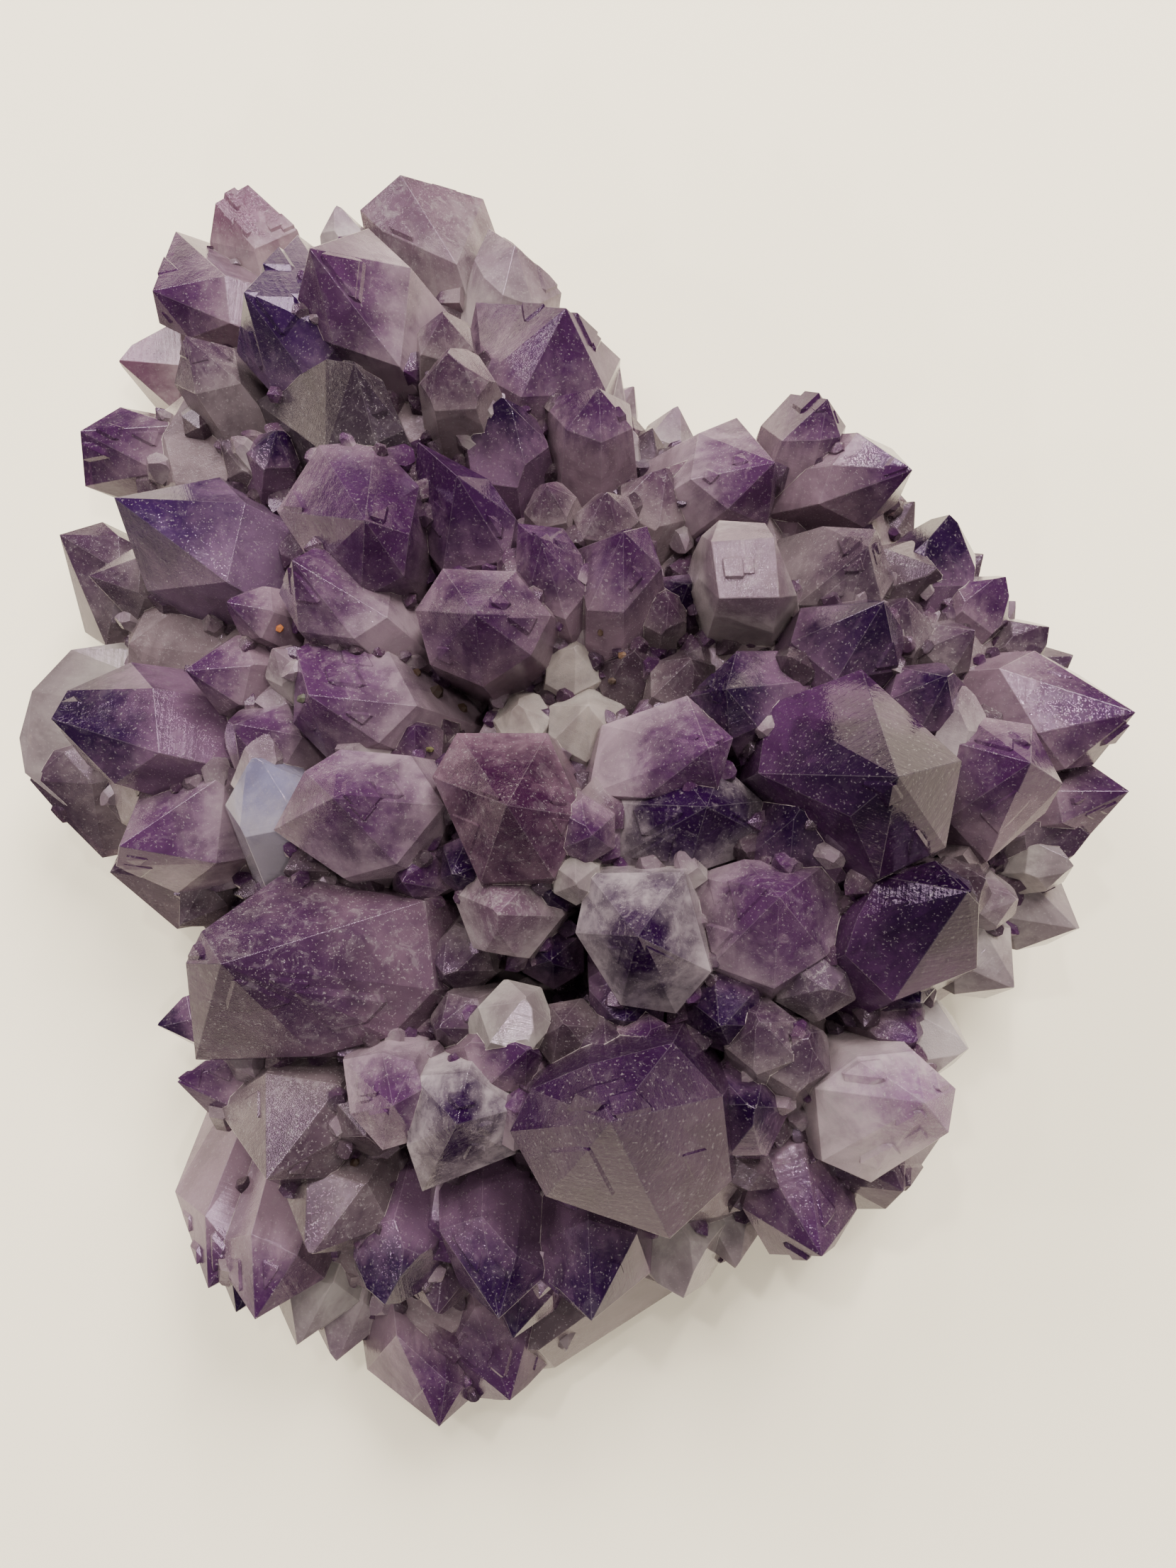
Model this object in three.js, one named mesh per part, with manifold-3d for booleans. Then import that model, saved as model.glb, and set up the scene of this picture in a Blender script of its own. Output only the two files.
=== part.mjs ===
// Amethyst cluster: a three-lobed mound of quartz crystals grown together, cut off flat underneath.
// Millimetres, +Z up, origin at the middle of the flat underside.
import * as THREE from "three";
import { ConvexGeometry } from "three/addons/geometries/ConvexGeometry.js";
import { mergeVertices } from "three/addons/utils/BufferGeometryUtils.js";
import Module from "manifold-3d";

const wasm = await Module();
wasm.setup();

// Viewpoint from which the crystals were surveyed, and the level plane their places are read on
const surveyHeight = 40;
const surveyDistance = 166.1;
const surveyTiltRight = THREE.MathUtils.degToRad(6);
const surveyTiltNear = THREE.MathUtils.degToRad(9);

// Quartz habit: how steep the six end faces stand, and the cone on which their corners lie
const endFaceAngle = THREE.MathUtils.degToRad(51.8);
const cornerCone = THREE.MathUtils.degToRad(42);
const sides = 6;
const longestBody = 44;
const leastRise = 0.1;
const belowBase = 2;
const widestCornerGap = THREE.MathUtils.degToRad(95);
const cornerSpacing = THREE.MathUtils.degToRad(62);
const endFaceUnevenness = 0.03;
const sideUnevenness = 0.06;

// How much a crystal's body widens away from its tip
const bodyFlare = THREE.MathUtils.degToRad(7);

// Search along a line of sight, either side of where it passes the tip, for a crystal's cone
const searchReach = 1.5;
const searchSteps = 240;

// Numeric limits: planes too parallel to meet, slack on a plane, and two corners taken as one
const flattestMeeting = 1e-4;
const planeSlack = 1e-6;
const samePoint = 0.05;

// How far each of the six end faces stands off the tip, as a share of the crystal's width
const habits = {
  three: [0, 0.1, 0, 0.1, 0, 0.1],
  six: [0, 0.03, 0.01, 0.04, 0, 0.02],
  roof: [0, 0.14, 0.14, 0, 0.14, 0.14],
  slant: [-0.14, 0.02, 0.06, 0.1, 0.06, 0.02],
};

// Crystals by lobe: tip x, tip y on the survey plane, tip height, heading and lean of the axis in
// degrees, width across flats, turn about the axis in degrees, habit
const plainCrystals = {
  "upper left lobe": [
    [-66.4, 60, 18, 185, 50, 15, 10, "six"],
    [-35.3, 81.8, 27, 95, 55, 7, 30, "six"],
    [-19.8, 60.5, 50, 90, 12, 10, 0, "three"],
    [-12.5, 54, 44, 80, 25, 12, 0, "slant"],
    [-70.5, 29, 28, 180, 50, 12, 0, "six"],
    [-56.5, 16, 42, 185, 40, 11, 30, "six"],
    [-27, 38, 44, 60, 20, 9, 0, "six"],
  ],
  "notch between the lobes": [
    [4, 60, 28, 50, 55, 9, 0, "six"],
    [6.5, 56, 20, 45, 55, 7, 0, "six"],
    [12.7, 53.3, 18, 70, 50, 8, 0, "six"],
    [9, 50.5, 28, 60, 35, 8, 30, "six"],
    [11, 45, 40, 60, 35, 11, 0, "six"],
    [2.5, 41, 46, 80, 20, 9, 0, "six"],
  ],
  "left shoulder": [
    [-50.5, 8.5, 47, 150, 18, 13, 0, "six"],
    [-57.5, -20, 20, 240, 52, 9, 30, "six"],
    [-47.5, 3.5, 47, 100, 35, 12, 0, "six"],
    [-26, -13.5, 46, 240, 20, 9, 0, "six"],
  ],
  "middle and hollow": [
    [0, 11, 44, 60, 15, 11, 0, "six"],
    [6.5, 18.5, 42, 60, 10, 12, 20, "six"],
    [14.5, 17.5, 46, 60, 20, 9, 0, "six"],
    [14.5, 28.5, 42, 40, 15, 9, 0, "six"],
    [-13, -18.5, 54, 260, 10, 13, 0, "six"],
    [-5, -25, 44, 300, 15, 9, 0, "six"],
    [-20, -27, 44, 250, 20, 9, 0, "six"],
    [-9, -30.5, 52, 50, 30, 9, 30, "six"],
    [-9, -37.5, 50, 20, 30, 10, 0, "six"],
    [-3.5, -34, 50, 100, 15, 9, 0, "six"],
    [2, -36.5, 50, 60, 15, 12, 0, "six"],
    [5, -33, 48, 270, 20, 10, 30, "six"],
  ],
  "right lobe": [
    [46, 39.8, 24, 40, 50, 7, 0, "six"],
    [50.5, 38, 40, 75, 46, 12.5, 30, "three"],
    [49.5, 30.5, 43, 350, 32, 10, 0, "six"],
    [55.8, 32.5, 26, 30, 50, 8, 0, "six"],
    [59, 29.2, 38, 38, 50, 10, 30, "three"],
    [60.3, 26, 25, 40, 50, 6.5, 0, "six"],
    [68.6, 18.2, 26, 20, 50, 6, 0, "six"],
    [45, 26, 46, 80, 25, 9, 0, "six"],
    [51, 15.5, 52, 40, 20, 10, 0, "six"],
    [70.8, -7.5, 32, 350, 50, 10, 30, "three"],
    [69, -20, 26, 330, 45, 12, 0, "six"],
    [60.5, -28.3, 36, 315, 42, 11, 0, "six"],
    [30, -4, 54, 110, 15, 14, 0, "six"],
    [26, -27, 48, 280, 20, 12, 30, "six"],
    [34, -29, 50, 300, 15, 11, 0, "six"],
    [24, -33.5, 50, 110, 20, 9, 0, "six"],
    [31, -36, 48, 60, 25, 9, 0, "six"],
    [18.5, -34, 50, 250, 15, 11, 0, "six"],
    [46.5, -31, 46, 300, 30, 9, 30, "six"],
  ],
  "lower lobe": [
    [-60.7, -34.3, 20, 192, 62, 8, 30, "six"],
    [-31, -50, 46, 300, 20, 10, 0, "six"],
    [-39, -66, 42, 255, 35, 13, 0, "six"],
    [-41, -79.5, 24, 262, 52, 13, 0, "six"],
    [-49.5, -74.5, 22, 262, 50, 7, 0, "six"],
    [-35.5, -81.7, 19, 265, 55, 12, 0, "six"],
    [-29, -73.5, 38, 265, 45, 12, 30, "three"],
    [-21, -75, 32, 285, 40, 10, 0, "six"],
    [-10.6, -78, 30, 262, 52, 9, 30, "six"],
    [-3, -80, 20, 290, 50, 10, 0, "six"],
    [13.5, -73, 26, 275, 55, 14, 30, "three"],
    [21, -68.5, 24, 280, 50, 10, 0, "six"],
    [53.8, -37, 42, 350, 40, 11, 0, "six"],
    [23, -46, 48, 30, 15, 12, 0, "six"],
  ],
};

// Larger crystals whose corners show: tip x, y, height, heading, lean, then each corner where a
// ridge of the tip ends, then points of a level crest if the tip has one
const tracedCrystals = {
  "upper left lobe": [
    [-48.6, 69.4, 49, 165, 28, [[-41, 77.5], [-35.3, 69], [-34.6, 63], [-44.5, 55], [-49.4, 60.5]]],
    [-39.3, 75.6, 53, 140, 14, [[-31, 78.4], [-25, 72.8], [-26.5, 58.8], [-35.8, 62]]],
    [-33, 59.3, 50, 95, 30, [[-47, 54], [-39, 50], [-30, 48], [-26, 50], [-29, 57], [-37, 60]]],
    [-10.3, 76, 27, 65, 52, [[-14, 78.4], [-16, 74], [-12, 69], [-5, 67], [-3.7, 69.3], [-6.5, 72.6]]],
    [-74.6, 35.2, 24, 150, 45, [[-68.5, 37], [-66, 30], [-68, 19.5], [-71, 21.5]]],
    [-26.5, 86, 29, 100, 42, [[-32.2, 81], [-29, 78], [-18.5, 73.3], [-13.5, 79], [-14.8, 82.6]]],
    [-3.1, 67.2, 42, 65, 38, [[-15.8, 68], [-16.8, 63], [-9.5, 54.6], [2.5, 55.5], [4.6, 60]]],
    [-31.5, 37.2, 55, 300, 6, [
      [-38, 47.8], [-30, 48.5], [-23.8, 42], [-25.2, 35.2], [-38.5, 30.3], [-43.9, 38.5]]],
    [-66.9, 40.4, 43, 155, 42, [[-52, 43.3], [-51, 28.5], [-62.2, 27.2]]],
    [-41.8, 31.6, 52, 140, 24, [
      [-35, 35.4], [-27, 34.3], [-28.3, 23.5], [-33, 20.5], [-40.8, 21.5], [-43.6, 27]]],
    [-71.7, 49.8, 28, 175, 50, [[-66, 53.2], [-58, 50.6], [-60.5, 44], [-71, 42]]],
    [-56.9, 63.3, 38, 125, 44, [[-50, 61.5], [-49, 56.5], [-58.4, 56.5]]],
    [-61.5, 69.6, 27, 176, 48, [[-58.2, 78], [-53.7, 73.8], [-50.5, 65], [-60.5, 65]]],
    [-48, 84.6, 21, 98, 52, [[-52.6, 82], [-53.4, 76.5], [-47, 75.5], [-41, 78.2]]],
    [1.5, 55.9, 45, 80, 33, [[-7, 54.2], [-3, 50], [6.3, 50.2], [5.9, 53.6]]],
    [-18.5, 43.5, 51, 110, 15, [
      [-24, 48.3], [-14, 43], [-10.2, 37.5], [-11.2, 31.7], [-20.5, 30], [-25.1, 36]]],
    [-6.5, 34, 51, 100, 14, [[-9.9, 36.8], [-3.5, 36.1], [-0.2, 27], [-3.2, 23.2], [-10.3, 30]]],
    [5, 35.6, 52, 80, 22, [[-1.8, 33], [8.3, 36.4], [10.4, 30.5], [5, 24.2], [0, 24.5]]],
    [-16, 24, 57, 270, 8, [
      [-20.5, 30.4], [-10.3, 30], [-5.2, 23.8], [-8, 18.2], [-14.8, 13.7], [-22.3, 16.8], [-24.4, 24.5]]],
  ],
  "left shoulder": [
    [-39.5, 12.6, 51, 175, 20, [
      [-41.2, 19], [-36, 22], [-28.5, 19.3], [-24.2, 11], [-29.5, 5.8], [-36.5, 3.3], [-41.6, 8.5]]],
    [-80.3, 6.5, 24, 180, 60, [[-78.5, 13.2], [-73, 19], [-66, 20], [-74, -3], [-79.5, 1.5]]],
    [-78.8, 0.5, 22, 205, 60, [[-77, 5], [-70, 0], [-65, -7], [-68.5, -10.5], [-74, -5]]],
    [-67.5, -12.5, 20, 215, 58, [[-66, -10], [-57, -15.5], [-51, -14.5], [-49, -19], [-58, -20.5]]],
    [-75.8, 9.2, 41, 172, 47, [[-73.5, 13.2], [-64.5, 17.2], [-60.5, 4.4], [-66.8, 0]]],
    [-66.2, -8.8, 38, 205, 42, [[-62, 1.6], [-51, 1.6], [-52.5, -11.2], [-58, -15.4], [-66.6, -11.6]]],
    [-36, -2, 58, 180, 6, [
      [-40, 1.8], [-35, 4.9], [-25, 4], [-20.3, -3], [-27, -11.3], [-34.5, -13.3], [-44.4, -6.5]]],
  ],
  "middle": [
    [-11.5, -3, 62, 90, 3, [
      [-22, 1], [-18.5, 7.2], [-5.7, 7.2], [-0.6, -4.6], [-4.8, -13.3], [-15.2, -14]]],
    [7, -21.5, 61, 260, 8, [
      [0, -12.6], [13.5, -12.4], [17.4, -26.5], [12.4, -32.4], [4.6, -31.2], [-1.8, -21]]],
  ],
  "right lobe": [
    [33.8, 54.4, 41, 70, 42, [[28.6, 55.1], [24.4, 50.6], [32.8, 48.5], [36.4, 50.5]]],
    [45.8, 44.3, 41, 345, 44, [[38, 49.6], [34.5, 45], [32.5, 39.5], [39, 36.2]]],
    [26.4, 45.4, 44, 5, 34, [[21, 51.7], [15.6, 49.5], [14.5, 43], [19.7, 38.8]]],
    [23, 30.6, 55, 300, 4, [
      [16, 35], [18.5, 37.2], [25, 36.8], [29.5, 26.6], [26.2, 21.9], [18.3, 23.4], [15.6, 29]],
      [[18.5, 26.2], [27, 26.3], [26.3, 34.8], [17.4, 34.2]]],
    [39.5, 33.5, 49, 60, 18, [[33, 36.4], [40.6, 36], [43.3, 29], [37, 25.2], [29.3, 25.2], [26.3, 34.4]]],
    [41.8, 25.8, 53, 50, 28, [[30, 24.8], [28.6, 20], [35, 14.6], [43.8, 16]]],
    [43.8, 1, 66, 0, 8, [
      [38.6, 16.2], [25.4, 11.2], [24, 1.5], [37, -4.6], [41, -13.4], [50.5, -9], [52.7, 3.3]]],
    [62.5, 3, 54, 0, 12, [
      [53, 9.9], [62.6, 8.4], [67, 0], [64.6, -4], [56.3, -11], [50.6, -5], [49.3, 6.5]]],
    [77.3, 10.1, 42, 357, 47, [[63, 18.8], [58, 16.3], [63.5, 7.2], [71.3, 2.7]]],
    [76.4, -1, 35, 0, 50, [[69.8, 3.6], [66, -1], [67, -5.5], [70.8, -7.2]]],
    [17, 5, 57, 20, 12, [[2, 8.3], [14, 12.5], [20.5, 6.5], [18.3, -0.8], [8, -2], [0, -1.5]]],
    [16.8, -3.2, 56, 0, 10, [[12, 3.3], [24.6, -2.4], [27.2, -8.6], [14, -12.8], [2, -11.6], [-0.9, -2.5]]],
    [19.5, 13.4, 55, 150, 14, [[14.2, 12.3], [21, 18.8], [28.5, 18.8], [33.9, 14.8], [24, 8], [20, 6.2]]],
    [53.6, -15.2, 58, 25, 20, [
      [41.2, -13], [49, -10.8], [55.2, -17], [54.9, -26], [43, -30.7], [36.3, -24], [38, -18.8]]],
    [27, -16, 57, 70, 10, [
      [14.2, -13], [22, -10.6], [33.5, -11.3], [38.2, -19], [33.7, -24.2], [17.3, -25.6]]],
  ],
  "lower lobe": [
    [-51.8, -25.4, 56, 185, 20, [
      [-54.6, -20.8], [-43.5, -12.9], [-23, -16.5], [-21.6, -29],
      [-28, -35.7], [-38.5, -38.4], [-55.4, -38.9], [-56.8, -25.3]]],
    [-58, -42, 36, 176, 45, [[-54, -39], [-48, -38.5], [-49.3, -46], [-52.6, -47.4]]],
    [-45.4, -55.8, 47, 255, 26, [[-52.5, -45.5], [-45.5, -40.8], [-35, -42.4], [-31.4, -48], [-36, -55.6]]],
    [-53.6, -71.2, 31, 258, 50, [[-58.3, -57.5], [-54, -61], [-50.2, -65.5]]],
    [-47, -75.6, 36, 268, 47, [[-53.8, -65], [-47.5, -63.5], [-41, -66.5]]],
    [-21, -90.7, 25, 287, 52, [[-31.2, -82.6], [-27, -77.8], [-20, -84.2], [-16.4, -86.6]]],
    [-11, -87, 24, 292, 54, [
      [-16.5, -86.6], [-19.5, -80], [-16, -74], [-7, -72], [-4.4, -80.5], [-8.6, -85]]],
    [-12.6, -75.5, 43, 278, 40, [[-21, -63], [-15, -61], [-10.1, -66.5]]],
    [0.5, -75.8, 43, 278, 40, [[-10.6, -66.5], [-4, -71.4], [0, -61.5], [6.9, -63.4]]],
    [-27.5, -45.4, 53, 300, 10, [
      [-34.6, -38.9], [-29, -37.9], [-23.2, -43], [-24, -50.2], [-29, -51.7], [-33.6, -46.5]]],
    [-18.5, -48, 55, 290, 12, [
      [-24.6, -41.2], [-17, -40.8], [-10.1, -45.8], [-10.2, -52.2], [-23.4, -57.5], [-25.6, -51]]],
    [3.2, -47.7, 66, 270, 4, [
      [-8, -43], [0, -39.6], [12, -36.5], [19, -44], [20.3, -56], [11.5, -64.2], [-6, -58.2], [-11, -49]]],
    [44.5, -57.5, 34, 310, 46, [[51, -48], [45, -48], [36, -53], [38, -60], [42, -60]]],
    [33, -66.7, 38, 285, 36, [[24, -52], [30.5, -50.4], [38, -60], [34.8, -65.3], [25.6, -66.4]]],
    [47.5, -45, 53, 330, 10, [
      [32, -43], [38, -38.5], [46, -37.7], [51.9, -43], [50.9, -49.2], [40, -56.2], [33, -53.2]]],
  ],
};

// Body of massive quartz under the crystals, lump by lump: x and y read as above, radius, height
const bodyLumps = [
  [-34, 61, 18, 29], [-48, 45, 20, 29], [-25, 42, 29, 33], [-55, 20, 15, 26],
  [-57, 4, 16, 26], [-38, 6, 28, 33], [-10, -4, 29, 35], [-36, -22, 18, 31],
  [-3, 42, 16, 29], [16, 30, 21, 31], [32, 34, 15, 27], [22, 6, 29, 37], [41, 12, 21, 37],
  [54, 0, 14, 29], [42, -14, 19, 33], [20, -20, 29, 37], [33, -40, 15, 29],
  [10, -44, 23, 35], [-10, -54, 20, 30], [-30, -54, 21, 26], [-43, -54, 12, 18], [-21, -71, 12, 23],
  [0, 18, 20, 24], [-42, 22, 16, 24],
];
const lumpReadHeight = 20;
const lumpSides = 8;
const lumpTiers = [[1.05, 0], [1, 0.4], [0.85, 0.8], [0.55, 1]];
const lumpUnevenness = 0.1;

// Dark pits between the crystals: x, y, radius, floor height, read as above
const pits = [[-20.5, 15, 7.5, 20], [4.5, 17.5, 5, 26], [-28, 27, 4, 24]];
const pitReadHeight = 40;
const pitFlare = 1.5;
const pitTop = 60;

// Outline of the whole cluster, clockwise from the top left; the crystals under the rim follow it
const rimOutline = [
  [-26.5, 84], [-15, 81], [-3.7, 67], [4.4, 57], [13, 52], [28.4, 53], [35.7, 52],
  [46, 43], [58, 28], [67, 17], [75, 9], [74, -1], [68, -8], [68, -19], [59, -28],
  [53, -38], [50, -48], [43, -56], [32, -65], [14, -71], [1, -74], [-11, -85],
  [-21, -89], [-31, -80], [-46, -74], [-54, -68], [-57, -55], [-57, -42], [-56, -33],
  [-54, -22], [-66, -12], [-77, 0], [-78, 8], [-71, 18], [-71, 35], [-70, 49],
  [-65, 60], [-60, 69], [-56, 77], [-47, 82], [-35, 79],
];
const rimReadHeight = 24;
// Rows of crystals under the rim: tip height, how far in from the outline, lean, width, spacing
const underRows = [
  { height: 15, inset: 4, lean: 74, across: 15, spacing: 24, start: 0 },
  { height: 4.5, inset: 9, lean: 86, across: 15, spacing: 28, start: 8 },
];
const underSpread = { inset: 2, height: 2.5, lean: 7, heading: 16, across: 0.18, turn: 60 };
const underHabits = ["six", "three", "roof", "slant"];
const underFirstNumber = 1000;

// What varies from crystal to crystal and lump to lump, and the wave that gives the unevenness
const traits = ["girth", "end", "heading", "inset", "height", "lean", "across", "turn"];
const waveStep = 12.9898;
const waveScale = 43758.5453;

// Middle of the cluster's plan, and the block that keeps what is above the flat cut
const planMiddle = new THREE.Vector2(-10.51, 10.5);
const cutSize = 400;

const stone = new THREE.MeshStandardMaterial({
  color: new THREE.Color(0.33, 0.25, 0.4),
  roughness: 0.22,
  metalness: 0,
});

const toViewer = new THREE.Vector3(Math.sin(surveyTiltRight), -Math.sin(surveyTiltNear), 0);
toViewer.z = Math.sqrt(1 - toViewer.x ** 2 - toViewer.y ** 2);
const sightUp = new THREE.Vector3(0, 1, 0).addScaledVector(toViewer, -toViewer.y).normalize();
const sightRight = new THREE.Vector3().crossVectors(sightUp, toViewer);
const viewer = new THREE.Vector3(0, 0, surveyHeight).addScaledVector(toViewer, surveyDistance);

// Line of sight from the viewpoint through a place on the survey plane
function sightLine(x, y) {
  return new THREE.Vector3()
    .addScaledVector(toViewer, -surveyDistance)
    .addScaledVector(sightRight, x)
    .addScaledVector(sightUp, y);
}

// Point seen at x, y that lies at a given height
function place(x, y, height) {
  const line = sightLine(x, y);
  return viewer.clone().addScaledVector(line, (height - viewer.z) / line.z);
}

// Repeatable unevenness between -amount and amount, different for each number and trait
function uneven(number, trait, amount) {
  const wave = Math.sin((number + traits.indexOf(trait) / traits.length) * waveStep) * waveScale;
  return (2 * (wave - Math.floor(wave)) - 1) * amount;
}

// A crystal's axis, the direction out of its uppermost side, and the third direction
function crystalAxes(heading, lean) {
  const h = THREE.MathUtils.degToRad(heading);
  const t = THREE.MathUtils.degToRad(lean);
  const axis = new THREE.Vector3(Math.sin(t) * Math.cos(h), Math.sin(t) * Math.sin(h), Math.cos(t));
  const top = new THREE.Vector3(-Math.cos(t) * Math.cos(h), -Math.cos(t) * Math.sin(h), Math.sin(t));
  return { axis, top, side: new THREE.Vector3().crossVectors(axis, top) };
}

// Direction at an angle round the axis, starting from the uppermost side
function around({ top, side }, angle) {
  return top.clone().multiplyScalar(Math.cos(angle)).addScaledVector(side, Math.sin(angle));
}

// Point where three planes meet, or nothing where they don't
function meeting(a, b, c) {
  const bc = new THREE.Vector3().crossVectors(b.normal, c.normal);
  const size = a.normal.dot(bc);
  if (Math.abs(size) < flattestMeeting) return null;
  const ca = new THREE.Vector3().crossVectors(c.normal, a.normal);
  const ab = new THREE.Vector3().crossVectors(a.normal, b.normal);
  return bc.multiplyScalar(a.reach).addScaledVector(ca, b.reach).addScaledVector(ab, c.reach)
    .divideScalar(size);
}

// Corners of the solid that a set of planes encloses
function planeCorners(planes) {
  const corners = [];
  planes.forEach((a, i) => planes.slice(i + 1).forEach((b, j) => {
    planes.slice(i + j + 2).forEach((c) => {
      const point = meeting(a, b, c);
      const inside = point && planes.every((p) => p.normal.dot(point) <= p.reach + planeSlack);
      if (inside) corners.push(point);
    });
  }));
  return corners;
}

// How far a crystal's body runs back from its tip: down to the base, or as long as crystals grow
function bodyLength(tip, axis) {
  return Math.min((tip.z + belowBase) / Math.max(axis.z, leastRise), longestBody);
}

// Six prism faces, six end faces and a flat back, from the crystal's tip, lean and width
function plainCorners(tip, heading, lean, across, turn, habit, number) {
  const frame = crystalAxes(heading, lean);
  const planes = [];
  for (let k = 0; k < sides; k += 1) {
    const out = around(frame, THREE.MathUtils.degToRad(turn) + (2 * Math.PI * k) / sides);
    const reach = (across / 2) * (1 + uneven(number * sides + k, "girth", sideUnevenness));
    const shoulder = tip.clone().addScaledVector(out, reach)
      .addScaledVector(frame.axis, -reach * Math.tan(endFaceAngle));
    const wall = out.clone().multiplyScalar(Math.cos(bodyFlare))
      .addScaledVector(frame.axis, Math.sin(bodyFlare));
    planes.push({ normal: wall, reach: wall.dot(shoulder) });
    const end = frame.axis.clone().multiplyScalar(Math.cos(endFaceAngle))
      .addScaledVector(out, Math.sin(endFaceAngle));
    const offset = habits[habit][k] + uneven(number * sides + k, "end", endFaceUnevenness);
    planes.push({ normal: end, reach: end.dot(tip) + across * offset });
  }
  const back = frame.axis.clone().negate();
  planes.push({ normal: back, reach: back.dot(tip) + bodyLength(tip, frame.axis) });
  return planeCorners(planes);
}

// Where the sight line at x, y first meets the cone behind a tip, or passes nearest to it
function onCone(tip, axis, x, y) {
  const line = sightLine(x, y).normalize();
  const middle = tip.clone().sub(viewer).dot(line);
  const reach = tip.distanceTo(viewer.clone().addScaledVector(line, middle)) * searchReach;
  let best = null;
  let bestAngle = Infinity;
  for (let step = 0; step <= searchSteps; step += 1) {
    const along = middle + reach * ((2 * step) / searchSteps - 1);
    const point = viewer.clone().addScaledVector(line, along);
    const angle = tip.clone().sub(point).angleTo(axis);
    if (angle <= cornerCone) return point;
    if (angle < bestAngle) {
      best = point;
      bestAngle = angle;
    }
  }
  return best;
}

// A crystal whose face corners show: they are set on its cone, and hidden ones are filled in
function tracedCorners([x, y, height, heading, lean, seen, crest = []]) {
  const tip = place(x, y, height);
  const frame = crystalAxes(heading, lean);
  const ring = seen.map(([cx, cy]) => {
    const point = onCone(tip, frame.axis, cx, cy);
    const arm = point.clone().sub(tip);
    return { point, depth: -arm.dot(frame.axis), angle: Math.atan2(arm.dot(frame.side), arm.dot(frame.top)) };
  });
  ring.sort((p, q) => p.angle - q.angle);
  const shoulder = ring.map(({ point }) => point);
  ring.forEach((from, i) => {
    const to = ring[(i + 1) % ring.length];
    const gap = (to.angle - from.angle + 2 * Math.PI) % (2 * Math.PI);
    if (gap <= widestCornerGap) return;
    const steps = Math.round(gap / cornerSpacing);
    for (let k = 1; k < steps; k += 1) {
      const depth = THREE.MathUtils.lerp(from.depth, to.depth, k / steps);
      const out = around(frame, from.angle + (gap * k) / steps);
      shoulder.push(tip.clone().addScaledVector(frame.axis, -depth)
        .addScaledVector(out, depth * Math.tan(cornerCone)));
    }
  });
  const length = bodyLength(tip, frame.axis);
  const tail = shoulder.map((p) => {
    const out = p.clone().sub(tip).projectOnPlane(frame.axis).normalize();
    return p.clone().addScaledVector(frame.axis, -length)
      .addScaledVector(out, length * Math.tan(bodyFlare));
  });
  return [tip, ...crest.map(([cx, cy]) => place(cx, cy, height)), ...shoulder, ...tail];
}

// Closed convex solid round a set of points
function solidRound(points) {
  const distinct = points.filter((p, i) => points.slice(0, i).every((q) => p.distanceTo(q) > samePoint));
  return solidOf(new ConvexGeometry(distinct));
}

function solidOf(geometry) {
  geometry.deleteAttribute("normal");
  geometry.deleteAttribute("uv");
  const merged = mergeVertices(geometry);
  return new wasm.Manifold(new wasm.Mesh({
    numProp: 3,
    vertProperties: new Float32Array(merged.getAttribute("position").array),
    triVerts: new Uint32Array(merged.getIndex().array),
  }));
}

// One irregular faceted lump of the body, wider below than above
function lump([x, y, radius, height], number) {
  const centre = place(x, y, lumpReadHeight);
  const points = [];
  lumpTiers.forEach(([share, rise], tier) => {
    for (let k = 0; k < lumpSides; k += 1) {
      const corner = (number * lumpTiers.length + tier) * lumpSides + k;
      const angle = (2 * Math.PI * (k + tier / 2)) / lumpSides + number;
      const reach = radius * share * (1 + uneven(corner, "across", lumpUnevenness));
      points.push(new THREE.Vector3(
        centre.x + reach * Math.cos(angle),
        centre.y + reach * Math.sin(angle),
        height * rise * (1 + uneven(corner, "height", lumpUnevenness / 2)),
      ));
    }
  });
  return solidRound(points);
}

// Six-sided pit, wider at the mouth
function pit([x, y, radius, floor]) {
  const centre = place(x, y, pitReadHeight);
  const points = [];
  for (let k = 0; k < sides; k += 1) {
    const angle = (2 * Math.PI * k) / sides;
    const out = new THREE.Vector3(Math.cos(angle), Math.sin(angle), 0);
    points.push(centre.clone().setZ(floor).addScaledVector(out, radius));
    points.push(centre.clone().setZ(pitTop).addScaledVector(out, radius * pitFlare));
  }
  return solidRound(points);
}

// Crystals that point outwards under the rim, at an even spacing along the outline
function underRimCrystals(row, rowNumber) {
  const outline = rimOutline.map(([x, y]) => place(x, y, rimReadHeight).setZ(0));
  const crystals = [];
  let next = row.start;
  let walked = 0;
  outline.forEach((from, i) => {
    const to = outline[(i + 1) % outline.length];
    const length = from.distanceTo(to);
    const along = to.clone().sub(from).normalize();
    for (; next < walked + length; next += row.spacing) {
      const number = (rowNumber + 1) * underFirstNumber + crystals.length;
      const outward = THREE.MathUtils.radToDeg(Math.atan2(along.x, -along.y));
      const inset = row.inset + uneven(number, "inset", underSpread.inset);
      const tip = from.clone().addScaledVector(along, next - walked)
        .addScaledVector(crystalAxes(outward, 90).axis, -inset);
      tip.z = row.height + uneven(number, "height", underSpread.height);
      crystals.push(solidRound(plainCorners(
        tip,
        outward + uneven(number, "heading", underSpread.heading),
        row.lean + uneven(number, "lean", underSpread.lean),
        row.across * (1 + uneven(number, "across", underSpread.across)),
        uneven(number, "turn", underSpread.turn),
        underHabits[crystals.length % underHabits.length],
        number,
      )));
    }
    walked += length;
  });
  return crystals;
}

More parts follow.
